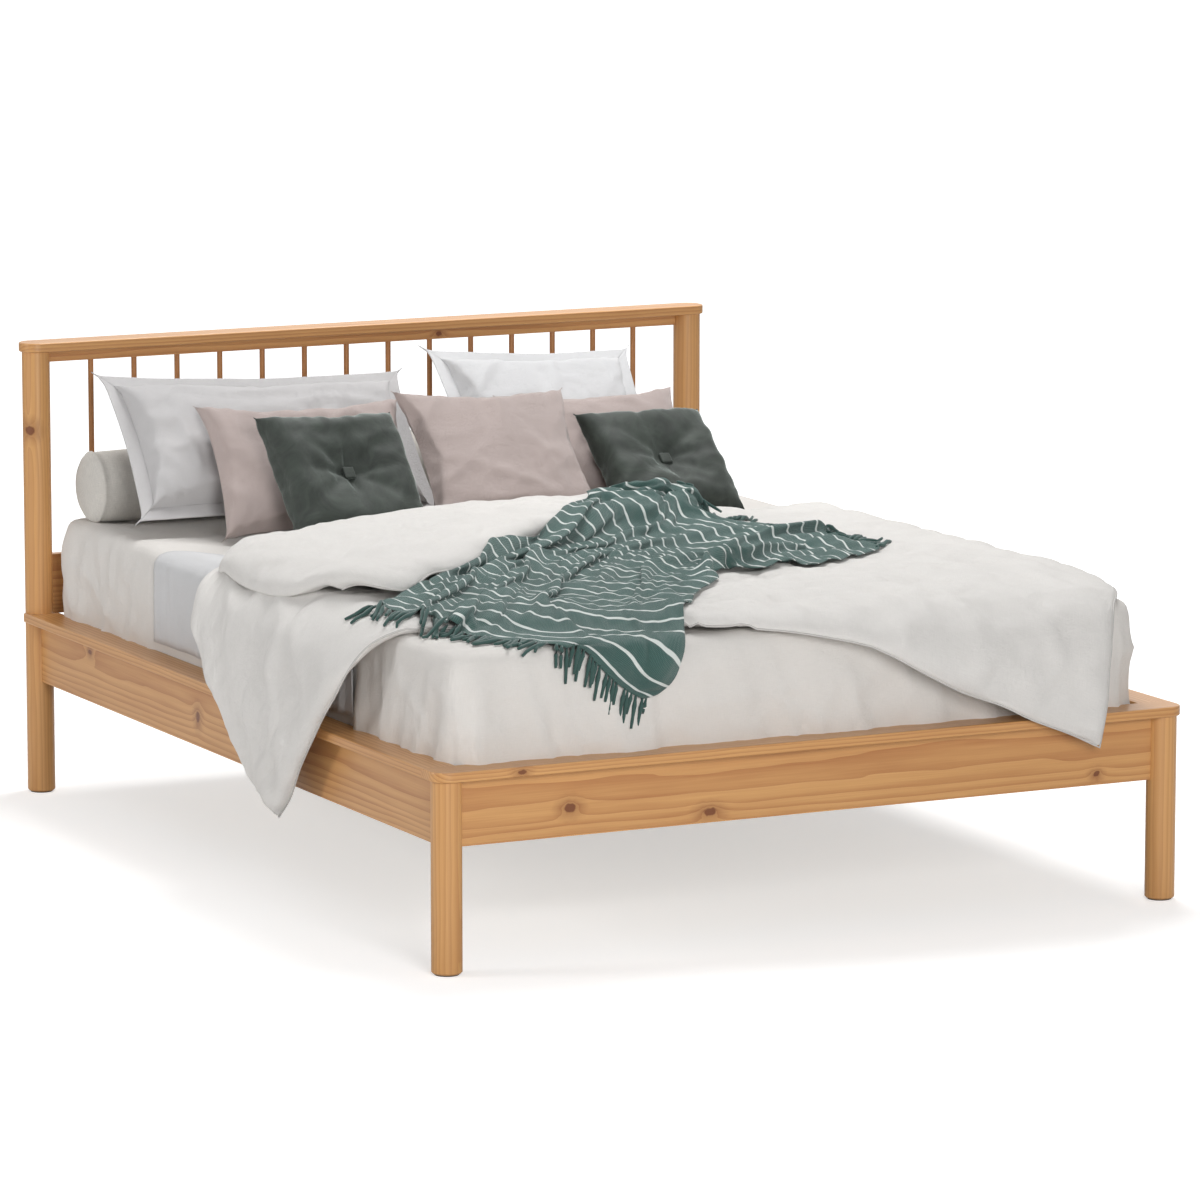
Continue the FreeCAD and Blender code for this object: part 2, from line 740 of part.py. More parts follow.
def duvet():
    """The duvet: a padded slab, its turned-back upper band and the parts that hang over."""
    plan = on_plan(DUVET_PLAN)
    side_start = max(x for x, y in plan) - duvet_side_lap
    foot_start = -min(y for x, y in plan) - duvet_foot_lap
    left_hem = [(-at_y(-s), at_z(z)) for s, z in LEFT_HEM]
    foot_hem = [(at_x(s), at_z(z)) for s, z in FOOT_HEM]
    right_hem = [(at_y(s), at_z(z)) for s, z in RIGHT_HEM]
    body = slab(plan, duvet_bottom, duvet_top, duvet_edge_round)
    band = slab(on_plan(FOLD_PLAN), duvet_top - duvet_edge_round, fold_top, duvet_fold_thickness / 2)
    make = (duvet_top, duvet_drop_thickness, duvet_drop_wave)
    left = on_left(drop(left_hem, side_start, cap_outer_x + duvet_drop_gap, *make,
                        duvet_long_folds, duvet_left_shoulder))
    foot = drop(foot_hem, foot_start, cap_outer_y + duvet_drop_gap, *make,
                duvet_long_folds, duvet_foot_shoulder)
    right = on_right(drop(right_hem, side_start, sheet_side_x + duvet_drop_gap, *make,
                          duvet_right_folds, duvet_right_shoulder))
    return body.fuse([band, left, foot, right])


def throw():
    """The throw: a wavy layer down the duvet from the pillows, and over the foot of the mattress."""
    origin = V(0, 0, 0)
    layer = wavy_sheet(-throw_reach, throw_reach, 0, throw_wave, throw_wave_count, throw_thickness,
                       0, 2 * throw_reach)
    layer.rotate(origin, X_AXIS, 90 + throw_slope)
    layer.rotate(origin, Z_AXIS, -throw_turn)
    layer.translate(V(throw_head_x, throw_head_y, fold_top + throw_lift))
    outline = on_plan(THROW_PLAN)
    plan = prism([V(x, y, 0) for x, y in outline], Z_AXIS * headboard_height)
    hem = [(at_x(s), at_z(z)) for s, z in THROW_HEM]
    foot_start = -min(y for x, y in outline)
    fall = drop(hem, foot_start, -sheet_foot_y + soft_gap, fold_top - soft_gap, throw_thickness,
                throw_wave / 2, throw_foot_folds, throw_foot_shoulder)
    return layer.common(plan).fuse(fall)


# ---- Write every piece ----
def frame_pieces():
    """The wooden and steel pieces, each with the pockets and holes that its neighbours need."""
    dowels = cap_dowels()
    bolts = [leg_bolt(side, end) for side, end in CORNERS]
    plate_screws = [s for side, end in CORNERS for s in bracket_screws(side, end)]
    plate_screws = plate_screws + hanger_screws(-1) + hanger_screws(1)
    rail_screws = ledger_screws()
    bed_screws = slat_screws()
    stud = centre_stud()
    every = dowels + bolts + plate_screws + rail_screws + bed_screws + [stud]

    foot_rail = foot_rail_board()
    head_rail = head_rail_board()
    side_rails = {-1: side_rail_board(-1), 1: side_rail_board(1)}
    top_rail = headboard_rail_board(top_rail_bottom, headboard_cap_underside)
    lower_rail = headboard_rail_board(lower_rail_bottom, lower_rail_top)
    sockets = [spindle_socket_hole(x) for x in spindle_places()]

    pieces = {
        "foot_rail": foot_rail,
        "head_rail": head_rail,
        "side_rail_left": side_rails[-1],
        "side_rail_right": side_rails[1],
        "headboard_top_rail": drilled(top_rail, sockets),
        "headboard_lower_rail": drilled(lower_rail, sockets),
        "foot_cap": foot_cap_board(),
        "side_cap_left": side_cap_board(-1),
        "side_cap_right": side_cap_board(1),
        "headboard_cap": headboard_cap_board(),
        "slat_ledger_left": ledger(-1),
        "slat_ledger_right": ledger(1),
        "centre_beam": centre_beam(),
        "centre_leg": centre_leg(),
    }
    for side, word in ((-1, "left"), (1, "right")):
        low_boards = [foot_rail, side_rails[side]]
        pieces["leg_front_" + word] = round_leg(side * half_x, -half_y, cap_underside, low_boards)
        high_boards = [head_rail, side_rails[side], top_rail, lower_rail]
        pieces["post_back_" + word] = round_leg(side * half_x, half_y, headboard_cap_underside, high_boards)
    for (side, end), word in zip(CORNERS, ("front_left", "front_right", "back_left", "back_right")):
        pieces["corner_bracket_" + word] = corner_bracket(side, end)
    pieces = {name: drilled(piece, every) for name, piece in pieces.items()}
    pieces["beam_hangers"] = Part.makeCompound([drilled(beam_hanger(end), plate_screws) for end in (-1, 1)])
    pieces["slats"] = Part.makeCompound([drilled(slat(y), bed_screws) for y in slat_places()])

    for i, x in enumerate(spindle_places()):
        pieces["spindle_%02d" % (i + 1)] = spindle(x)
    feet = [(side * half_x, end * half_y, leg_radius - glide_inset) for side, end in CORNERS]
    feet.append((0, centre_leg_offset, centre_leg_diameter / 2 - glide_inset))
    pieces["felt_glides"] = Part.makeCompound([glide(*foot) for foot in feet])
    pieces["cap_dowels"] = Part.makeCompound(dowels)
    pieces["leg_bolts"] = Part.makeCompound(bolts)
    pieces["bracket_screws"] = Part.makeCompound(plate_screws)
    pieces["ledger_screws"] = Part.makeCompound(rail_screws)
    pieces["slat_screws"] = Part.makeCompound(bed_screws)
    pieces["centre_leg_stud"] = stud
    return pieces


def soft_pieces():
    """The mattress and the bedding."""
    pieces = {
        "mattress": mattress_block(0),
        "fitted_sheet": skin(1),
        "flat_sheet": flat_sheet(),
        "bolster": bolster(),
        "duvet": duvet(),
        "throw": throw(),
    }
    for name in PILLOWS:
        pieces[name] = pillow(name)
    for word in ("left", "right"):
        pieces["cushion_button_" + word] = button("velvet_cushion_" + word)
    return pieces


def main():
    os.makedirs("parts", exist_ok=True)
    pieces = frame_pieces()
    pieces.update(soft_pieces())
    for name, piece in pieces.items():
        piece.exportStep("parts/%s.step" % name)
    print("%d pieces" % len(pieces))


main()
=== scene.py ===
"""Dresses the spindle bed: timber, steel and felt finishes, mattress, sheets, pillows, duvet and throw."""

import json
import math

import bmesh
import bpy
import numpy as np
from bpy.props import FloatProperty, FloatVectorProperty, IntProperty, PointerProperty
from bpy.types import NodeSocket, Operator, Panel, PropertyGroup
from mathutils import Matrix, Vector, noise
from mathutils.bvhtree import BVHTree

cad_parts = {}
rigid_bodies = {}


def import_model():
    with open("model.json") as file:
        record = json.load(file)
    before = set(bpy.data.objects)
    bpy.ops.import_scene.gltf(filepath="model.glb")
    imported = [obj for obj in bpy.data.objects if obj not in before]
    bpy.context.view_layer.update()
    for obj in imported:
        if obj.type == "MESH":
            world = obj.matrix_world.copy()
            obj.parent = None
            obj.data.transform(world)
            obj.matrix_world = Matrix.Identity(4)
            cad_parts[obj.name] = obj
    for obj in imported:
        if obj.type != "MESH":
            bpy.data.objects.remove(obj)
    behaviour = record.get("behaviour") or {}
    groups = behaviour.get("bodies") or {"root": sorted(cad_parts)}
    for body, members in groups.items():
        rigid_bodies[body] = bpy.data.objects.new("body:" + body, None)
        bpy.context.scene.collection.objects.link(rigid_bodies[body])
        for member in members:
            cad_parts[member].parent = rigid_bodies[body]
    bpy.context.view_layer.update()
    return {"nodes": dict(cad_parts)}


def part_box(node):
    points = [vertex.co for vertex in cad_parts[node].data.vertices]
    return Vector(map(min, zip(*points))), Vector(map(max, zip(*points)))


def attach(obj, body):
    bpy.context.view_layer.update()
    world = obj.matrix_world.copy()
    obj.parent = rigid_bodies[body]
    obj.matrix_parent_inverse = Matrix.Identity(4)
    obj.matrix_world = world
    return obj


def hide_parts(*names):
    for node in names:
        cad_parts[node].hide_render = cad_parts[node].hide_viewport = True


for leftover in list(bpy.data.objects):
    bpy.data.objects.remove(leftover, do_unlink=True)
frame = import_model()

bl_info = {
    "name": "Spindle bed dresser",
    "version": (1, 0, 0),
    "blender": (4, 5, 0),
    "location": "3D View > Sidebar > Bed",
    "description": "Finishes a spindle bed and makes its mattress, sheets, pillows, duvet and throw",
    "category": "Object",
}

# ---- Places taken from the frame, in metres ----
MATTRESS_LOW, MATTRESS_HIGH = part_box("mattress")
SHEET_LOW, SHEET_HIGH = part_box("fitted_sheet")
CAP_LOW, CAP_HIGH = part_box("foot_cap")
RAIL_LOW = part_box("foot_rail")[0]
BOLSTER_LOW, BOLSTER_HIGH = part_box("bolster")
MATTRESS_TOP = MATTRESS_HIGH.z
CAP_TOP = CAP_HIGH.z
PILLOW_SEAT = SHEET_HIGH.z + 0.0004
FLAT_SHEET_TOP = SHEET_HIGH.z + 0.0024
FLAT_SHEET_HEM = 0.415
DUVET_TOP = 0.626
# For each edge of the bed: where cloth begins to turn down, and how wide it turns
FLAT_SHEET_ROLL = {"left": (0.722, 0.034), "right": (2.0, 0.05), "foot": (2.0, 0.05)}
DUVET_ROLL = {"left": (0.735, 0.115), "right": (0.735, 0.045), "foot": (0.985, 0.105)}
THROW_ROLL = {"left": (2.0, 0.05), "right": (2.0, 0.05), "foot": (0.996, 0.020)}
THROW_TOP = 0.690
SHEET_THICKNESS = 0.0012
THROW_THICKNESS = 0.003
FLANGE_THICKNESS = 0.0032
# Columns and rows of faces in each cloth, and the width of a pillow's faces
FLAT_SHEET_GRID, DUVET_GRID, FOLD_GRID, THROW_GRID = (110, 80), (124, 92), (96, 44), (72, 112)
PILLOW_FACE = 0.0115
# How far settled cloth may end from its drawn form
PILLOW_SHIFT, DUVET_SHIFT = 0.013, 0.014
SETTLING_FRAMES = 24
PILLOW_FRAMES = 10
MATTRESS_CORNER, MATTRESS_EDGE, MATTRESS_FACE = 0.055, 0.026, 0.05
SHEET_CORNER, SHEET_EDGE, SHEET_FACE = 0.056, 0.028, 0.014
BUTTON_SIZE, BUTTON_FLATNESS = 0.028, 0.36
BOLSTER_STEPS = 64
CORD_SIDES = 6
TASSEL_STEPS, TASSEL_RADIUS = 6, 0.0036
TASSEL_SHAPE = (0.6, 0.9, 1.5, 1.2, 1.0, 1.0, 0.8)
TASSEL_KNOT = 3

# name: maker, width, height, thickness, draw-in, x, y, yaw, lean, roll (metres and degrees)
PILLOWS = {
    "oxford_pillow_left": ("flanged", 0.735, 0.425, 0.118, 0.013, -0.365, 0.744, 0, 45, -3),
    "oxford_pillow_right": ("flanged", 0.530, 0.450, 0.112, 0.012, 0.328, 0.786, 2, 45, -4),
    "mauve_pillow_left": ("plain", 0.470, 0.350, 0.084, 0.015, -0.352, 0.562, -8, 40, 0),
    "mauve_pillow_centre": ("plain", 0.420, 0.365, 0.090, 0.014, 0.053, 0.484, 2, 42, -3),
    "mauve_pillow_right": ("plain", 0.440, 0.335, 0.084, 0.013, 0.356, 0.588, -2, 42, 0),
    "velvet_cushion_left": ("tufted", 0.350, 0.320, 0.096, 0.009, -0.340, 0.418, 10, 38, -3),
    "velvet_cushion_right": ("tufted", 0.330, 0.300, 0.092, 0.009, 0.422, 0.446, 8, 46, -3),
}

# Outlines in plan, seen from above, and hems as (place along the edge, height)
DUVET_HEAD = [(-0.765, 0.050), (-0.570, 0.150), (-0.380, 0.250), (-0.200, 0.292), (0.100, 0.292),
              (0.500, 0.285), (0.738, 0.300)]
DUVET_FOOT = [(-0.735, -0.740), (-0.640, -0.780), (-0.500, -0.830), (-0.250, -0.960), (-0.150, -0.990)]
LEFT_HEM_FRONT = [(-0.381, 0.209), (-0.441, 0.260), (-0.490, 0.328), (-0.588, 0.433), (-0.690, 0.545)]
LEFT_HEM_BACK = [(-0.381, 0.209), (-0.268, 0.250), (-0.169, 0.315), (-0.070, 0.401), (0.005, 0.472),
                 (0.070, 0.560)]
FOOT_HEM = [(0.000, 0.606), (0.121, 0.573), (0.210, 0.526), (0.301, 0.480), (0.391, 0.447), (0.460, 0.413),
            (0.551, 0.376), (0.614, 0.345)]
CORNER_HEM = [(0.614, 0.345), (0.629, 0.424), (0.640, 0.524), (0.665, 0.600)]
RIGHT_HEM = [(-0.800, 0.600), (-0.560, 0.560), (-0.300, 0.480), (0.000, 0.455), (0.180, 0.480),
             (0.290, 0.590)]
FOLD_FREE = [(-0.735, -0.440), (-0.660, -0.505), (-0.515, -0.399), (-0.308, -0.224), (-0.112, -0.048),
             (0.120, 0.060), (0.330, 0.130)]
# Places where the duvet's filling is sewn through
PUCKERS = [(0.10, -0.62), (0.36, -0.78), (0.30, -0.98), (-0.02, -0.90), (0.60, -0.60), (0.55, -0.20)]
THROW_HEAD = [(0.370, 0.270), (0.420, 0.180), (0.455, 0.020), (0.495, -0.180), (0.520, -0.370)]
THROW_LEFT = [(-0.735, -0.610), (-0.600, -0.480), (-0.350, -0.235), (-0.100, -0.010), (0.060, 0.150),
              (0.200, 0.250), (0.370, 0.270)]
THROW_RIGHT = [(-0.366, -1.085), (-0.310, -1.050), (-0.255, -0.960), (-0.170, -0.840), (0.015, -0.540),
               (0.160, -0.560), (0.330, -0.460), (0.520, -0.370)]
THROW_FOOT = [(-0.735, -0.610), (-0.690, -0.780), (-0.610, -0.930), (-0.500, -1.030), (-0.366, -1.085)]
# Layers of creases: depth, how close together, and which pattern
DUVET_CREASES = ((0.012, 6.5, 5.0), (0.014, 12.0, 2.0), (0.0060, 25.0, 6.0))
FOLD_CREASES = ((0.010, 8.0, 1.0), (0.010, 16.0, 7.0), (0.0045, 30.0, 3.0))
# Upright creases in the fitted sheet's foot: place, lean, width and depth
SHEET_CREASES = ((-0.47, 0.35, 0.016, 0.011), (-0.42, 0.25, 0.012, 0.009), (-0.36, 0.10, 0.014, 0.008),
                 (-0.62, 0.20, 0.025, 0.007), (-0.20, 0.12, 0.020, 0.006), (0.10, 0.05, 0.030, 0.006),
                 (0.706, -0.06, 0.010, 0.014))

# name: place, size, power, and the point that it faces
LIGHTS = {
    "overhead_softbox": ((1.0, 1.2, 4.4), 2.0, 150, (0, 0, 0.4)),
    "front_softbox": ((-1.6, -6.6, 2.2), 2.2, 200, (0, -0.6, 0.4)),
    "left_softbox": ((-5.2, 0.6, 2.0), 1.4, 68, (0, 0, 0.5)),
}
CAMERA_LENS, CAMERA_SENSOR = 195.81, 36.0
CAMERA_PLACE = (-5.95296, -12.01589, 2.67984)
CAMERA_TURN = (math.pi / 2 - 0.16015, 0, -0.46352)


def tint(red, green, blue):
    """A screen colour from 0 to 255 as the linear values that shaders use."""
    shares = [c / 255 for c in (red, green, blue)]
    return tuple(c / 12.92 if c <= 0.04045 else ((c + 0.055) / 1.055) ** 2.4 for c in shares)


def colour_property(label, text, red, green, blue):
    return FloatVectorProperty(name=label, description=text, subtype="COLOR", size=3, min=0, max=1,
                               default=tint(red, green, blue))


class BeddingSizes(PropertyGroup):
    duvet_loft: FloatProperty(name="Duvet loft", description="Thickness of the duvet's filling",
                              default=0.036, min=0.01, max=0.08, unit="LENGTH")
    fold_loft: FloatProperty(name="Fold loft", description="Thickness of the turned-back upper band",
                             default=0.036, min=0.01, max=0.06, unit="LENGTH")
    piping_radius: FloatProperty(name="Piping radius", description="Radius of the piped seams",
                                 default=0.0022, min=0.001, max=0.006, unit="LENGTH")
    flange_width: FloatProperty(name="Flange width", description="Width of the large pillows' flat border",
                                default=0.038, min=0.01, max=0.08, unit="LENGTH")
    pillow_pressure: FloatProperty(name="Pillow pressure", description="How hard the pillows are filled",
                                   default=4.0, min=1, max=20)
    fringe_length: FloatProperty(name="Fringe length", description="Length of a tassel of the throw",
                                 default=0.058, min=0.01, max=0.12, unit="LENGTH")
    fringe_count: IntProperty(name="Fringe count", description="Tassels along one end of the throw",
                              default=58, min=10, max=150)
    stripe_spacing: FloatProperty(name="Stripe spacing", description="Distance between the throw's stripes",
                                  default=0.047, min=0.01, max=0.2, unit="LENGTH")
    growth: FloatProperty(name="Throw slack", description="Share of spare cloth that crumples in the throw",
                          default=0.03, min=0, max=0.5, subtype="FACTOR")


class BedColours(PropertyGroup):
    pine_light: colour_property("Pine", "Early wood", 208, 157, 98)
    pine_dark: colour_property("Pine grain", "Late wood and fibres", 162, 102, 55)
    pine_knot: colour_property("Knot", "Heart of a knot", 118, 66, 30)
    slat_light: colour_property("Slat pine", "Planed wood of the base", 226, 200, 158)
    slat_dark: colour_property("Slat grain", "Grain of the base's wood", 194, 158, 112)
    steel: colour_property("Steel", "Zinc-plated brackets and screws", 190, 190, 194)
    felt: colour_property("Felt", "Glides under the legs", 84, 78, 72)
    ticking: colour_property("Ticking", "Mattress cover", 232, 230, 224)
    grey_cotton: colour_property("Fitted sheet", "Cotton of the fitted sheet", 236, 232, 227)
    white_cotton: colour_property("White cotton", "Flat sheet and right-hand large pillow", 222, 222, 223)
    pale_cotton: colour_property("Pale cotton", "Left-hand large pillow", 204, 202, 202)
    bolster: colour_property("Bolster", "Heathered cloth of the bolster", 208, 204, 197)
    mauve: colour_property("Mauve", "Sateen of the three pillows", 185, 169, 164)
    velvet: colour_property("Velvet", "Green velvet of the two cushions", 46, 53, 47)
    duvet: colour_property("Duvet", "Washed linen of the duvet", 239, 236, 232)
    throw_green: colour_property("Throw", "Green yarn of the throw", 64, 99, 93)
    throw_white: colour_property("Stripe", "White yarn of the throw", 226, 232, 228)


# ---- Nodes ----
def node(tree, kind, inputs=None, **settings):
    """A shader node with its settings and its sockets filled or linked."""
    made = tree.nodes.new(kind)
    for key, value in settings.items():
        setattr(made, key, value)
    for key, value in (inputs or {}).items():
        if isinstance(value, NodeSocket):
            tree.links.new(value, made.inputs[key])
        elif isinstance(value, tuple) and len(value) == 3 and made.inputs[key].type == "RGBA":
            made.inputs[key].default_value = (*value, 1)
        else:
            made.inputs[key].default_value = value
    return made


def maths(tree, operation, first, second=0.0):
    return node(tree, "ShaderNodeMath", {0: first, 1: second}, operation=operation).outputs[0]


def weighed(tree, *parts):
    """The sum of some values, each times its weight."""
    total = None
    for value, weight in parts:
        share = maths(tree, "MULTIPLY", value, weight)
        total = maths(tree, "ADD", total, share) if total else share
    return total


def vector_maths(tree, operation, first, second=(0, 0, 0), out=0):
    return node(tree, "ShaderNodeVectorMath", {0: first, 1: second}, operation=operation).outputs[out]


def scaled(tree, vector, scale):
    return node(tree, "ShaderNodeMapping", {"Vector": vector, "Scale": scale}).outputs[0]


def blend(tree, factor, first, second):
    """A mix of two colours."""
    return node(tree, "ShaderNodeMix", {0: factor, 6: first, 7: second}, data_type="RGBA").outputs[2]


def spread(tree, value, low, high, new_low=0.0, new_high=1.0):
    """Maps low..high to new_low..new_high, clamped."""
    return node(tree, "ShaderNodeMapRange", {0: value, 1: low, 2: high, 3: new_low, 4: new_high}).outputs[0]


def speckle(tree, vector, scale, detail=2.0, roughness=0.5, distortion=0.0):
    return node(tree, "ShaderNodeTexNoise", {"Vector": vector, "Scale": scale, "Detail": detail,
                                             "Roughness": roughness, "Distortion": distortion}).outputs[0]


def bands(tree, vector, scale, direction, distortion):
    """Soft stripes across one direction of a UV map."""
    return node(tree, "ShaderNodeTexWave", {"Vector": vector, "Scale": scale, "Distortion": distortion},
                wave_type="BANDS", bands_direction=direction).outputs["Fac"]


def dimmed(colour, share):
    """A colour made darker, or lighter where the share is over 1."""
    return tuple(c * share for c in colour)


def new_group(name, inputs, outputs):
    """An empty node group with its sockets: inputs as (name, kind, default), outputs as (name, kind)."""
    tree = bpy.data.node_groups.new(name, "ShaderNodeTree")
    for label, kind, default in inputs:
        socket = tree.interface.new_socket(label, in_out="INPUT", socket_type="NodeSocket" + kind)
        if default is not None:
            socket.default_value = default
    for label, kind in outputs:
        tree.interface.new_socket(label, in_out="OUTPUT", socket_type="NodeSocket" + kind)
    return tree, tree.nodes.new("NodeGroupInput").outputs, tree.nodes.new("NodeGroupOutput").inputs


def placed(tree, name, inputs):
    """The outputs of a shared node group placed in a material."""
    made = tree.nodes.new("ShaderNodeGroup")
    made.node_tree = bpy.data.node_groups[name]
    for key, value in inputs.items():
        if isinstance(value, NodeSocket):
            tree.links.new(value, made.inputs[key])
        elif made.inputs[key].type == "RGBA":
            made.inputs[key].default_value = (*value, 1)
        else:
            made.inputs[key].default_value = value
    return made.outputs


def make_pine_group():
    """Growth rings, fibres and knots of sawn pine, with the grain along X."""
    tree, given, result = new_group(
        "Pine figure",
        [("Vector", "Vector", None), ("Light", "Color", None), ("Dark", "Color", None),
         ("Knot", "Color", None), ("Push", "Float", 0.0), ("Mask", "Float", 0.0),
         ("Ring scale", "Float", 38.0)],
        [("Color", "Color"), ("Height", "Float"), ("Gloss", "Float")])
    rings = node(tree, "ShaderNodeTexWave", {
        "Vector": scaled(tree, given["Vector"], (0.10, 1.0, 1.0)), "Scale": given["Ring scale"],
        "Distortion": 4.5, "Detail": 2.0, "Detail Scale": 0.7, "Detail Roughness": 0.5,
        "Phase Offset": given["Push"]},
        wave_type="RINGS", rings_direction="X", wave_profile="SAW").outputs["Fac"]
    late = spread(tree, rings, 0.35, 1.0)
    fibre = speckle(tree, scaled(tree, given["Vector"], (7.0, 420.0, 420.0)), 1.0, 3.0, 0.6)
    streak = speckle(tree, scaled(tree, given["Vector"], (1.6, 34.0, 34.0)), 1.0, 2.0, 0.55)
    tone = spread(tree, weighed(tree, (late, 0.34), (fibre, 0.34), (streak, 0.42)), 0.28, 0.95)
    wood = blend(tree, tone, given["Light"], given["Dark"])
    wood = blend(tree, given["Mask"], wood, given["Knot"])
    tree.links.new(wood, result["Color"])
    tree.links.new(weighed(tree, (fibre, 0.6), (late, -0.3)), result["Height"])
    tree.links.new(spread(tree, tone, 0, 1, 0.34, 0.48), result["Gloss"])


def make_knot_group():
    """A knot: its dark heart, and how far it pushes the growth rings aside."""
    tree, given, result = new_group(
        "Pine knot", [("Vector", "Vector", None), ("Centre", "Vector", None), ("Size", "Vector", None)],
        [("Mask", "Float"), ("Push", "Float")])
    rough = node(tree, "ShaderNodeTexNoise",
                 {"Vector": given["Vector"], "Scale": 90.0, "Detail": 2.0}).outputs["Color"]
    wobble = vector_maths(tree, "SUBTRACT", rough, (0.5, 0.5, 0.5))
    wobble = vector_maths(tree, "MULTIPLY", wobble, (0.008, 0.008, 0.008))
    away = vector_maths(tree, "SUBTRACT", vector_maths(tree, "ADD", given["Vector"], wobble), given["Centre"])
    reach = vector_maths(tree, "LENGTH", vector_maths(tree, "DIVIDE", away, given["Size"]), out="Value")
    heart = spread(tree, reach, 0.75, 1.15, 1.0, 0.0)
    halo = spread(tree, reach, 1.0, 3.2, 0.38, 0.0)
    tree.links.new(maths(tree, "MAXIMUM", heart, halo), result["Mask"])
    squared = maths(tree, "ADD", maths(tree, "MULTIPLY", reach, reach), 1.0)
    tree.links.new(maths(tree, "DIVIDE", 16.0, squared), result["Push"])


def make_cloth_group():
    """Threads, slubs and uneven dye of a woven cloth, from a UV map in metres."""
    tree, given, result = new_group(
        "Woven cloth",
        [("Vector", "Vector", None), ("Place", "Vector", None), ("Color", "Color", None),
         ("Thread", "Float", 900.0), ("Slub", "Float", 0.5), ("Fade", "Float", 0.5)],
        [("Color", "Color"), ("Height", "Float")])
    weave = maths(tree, "MAXIMUM", *[bands(tree, given["Vector"], given["Thread"], way, 1.0) for way in "XY"])
    slub = maths(tree, "ADD", *[speckle(tree, scaled(tree, given["Vector"], scale), 1.0, 2.0, 0.6)
                                for scale in ((55.0, 900.0, 1.0), (900.0, 55.0, 1.0))])
    cloud = speckle(tree, given["Place"], 7.0, 3.0, 0.6)
    crumple = speckle(tree, given["Place"], 75.0, 4.0, 0.62, 0.6)
    dye = weighed(tree, (maths(tree, "SUBTRACT", slub, 1.0), given["Slub"]),
                  (maths(tree, "SUBTRACT", cloud, 0.5), given["Fade"]))
    shade = spread(tree, dye, -0.5, 0.5, 0.86, 1.10)
    tinted = vector_maths(tree, "MULTIPLY", given["Color"],
                          node(tree, "ShaderNodeCombineXYZ", {0: shade, 1: shade, 2: shade}).outputs[0])
    tree.links.new(tinted, result["Color"])
    tree.links.new(weighed(tree, (weave, 0.12), (slub, 0.16), (crumple, 1.0)), result["Height"])


def finish(name):
    """A material that this script made. The frame's own materials have the names without the ending."""
    return bpy.data.materials[name + "_finish"]


def new_material(name, **plain):
    """A material with a Principled shader, its plain numbers set on the shader's own sockets."""
    material = bpy.data.materials.new(name + "_finish")
    material.use_nodes = True
    tree = material.node_tree
    shader = tree.nodes["Principled BSDF"]
    for label, value in plain.items():
        socket = shader.inputs[label.replace("_", " ")]
        socket.default_value = (*value, 1) if isinstance(value, tuple) else value
    return tree, shader, node(tree, "ShaderNodeTexCoord").outputs


def bumped(tree, shader, height, distance, strength=1.0):
    bump = node(tree, "ShaderNodeBump", {"Height": height, "Distance": distance, "Strength": strength})
    tree.links.new(bump.outputs[0], shader.inputs["Normal"])


def along_grain(tree, place, axis, shift):
    """Object coordinates turned so that X runs along the grain, with the pith moved out of the board."""
    parts = node(tree, "ShaderNodeSeparateXYZ", {0: place["Object"]}).outputs
    order = {"X": (0, 1, 2), "Y": (1, 0, 2), "Z": (2, 0, 1)}[axis]
    turned = node(tree, "ShaderNodeCombineXYZ", {i: parts[k] for i, k in enumerate(order)}).outputs[0]
    return node(tree, "ShaderNodeMapping", {"Vector": turned, "Location": shift}).outputs[0]


def pine(name, axis, shift, knots=(), light=None, dark=None):
    """Lacquered pine with its grain along one axis. A knot is its centre and its size along each axis."""
    colours = bpy.context.scene.bed_colours
    tree, shader, place = new_material(name, Coat_Weight=0.16, Coat_Roughness=0.28)
    push, mask = 0.0, 0.0
    for centre, size in knots:
        knot = placed(tree, "Pine knot", {"Vector": place["Object"], "Centre": centre, "Size": size})
        push = maths(tree, "ADD", knot["Push"], push)
        mask = maths(tree, "MAXIMUM", knot["Mask"], mask)
    figure = placed(tree, "Pine figure", {
        "Vector": along_grain(tree, place, axis, shift), "Light": tuple(light or colours.pine_light),
        "Dark": tuple(dark or colours.pine_dark), "Knot": tuple(colours.pine_knot), "Push": push,
        "Mask": mask})
    tree.links.new(figure["Color"], shader.inputs["Base Color"])
    tree.links.new(figure["Gloss"], shader.inputs["Roughness"])
    bumped(tree, shader, figure["Height"], 0.0004, 0.5)
    return finish(name)


def cloth(name, colour, thread=900.0, slub=0.5, fade=0.35, bump=0.0012, **plain):
    """Makes a woven cloth on the piece's UV map in metres."""
    tree, shader, place = new_material(name, **{"Roughness": 0.88, **plain})
    weave = placed(tree, "Woven cloth", {"Vector": place["UV"], "Place": place["Object"],
                                         "Color": tuple(colour), "Thread": thread, "Slub": slub, "Fade": fade})
    tree.links.new(weave["Color"], shader.inputs["Base Color"])
    bumped(tree, shader, weave["Height"], bump)


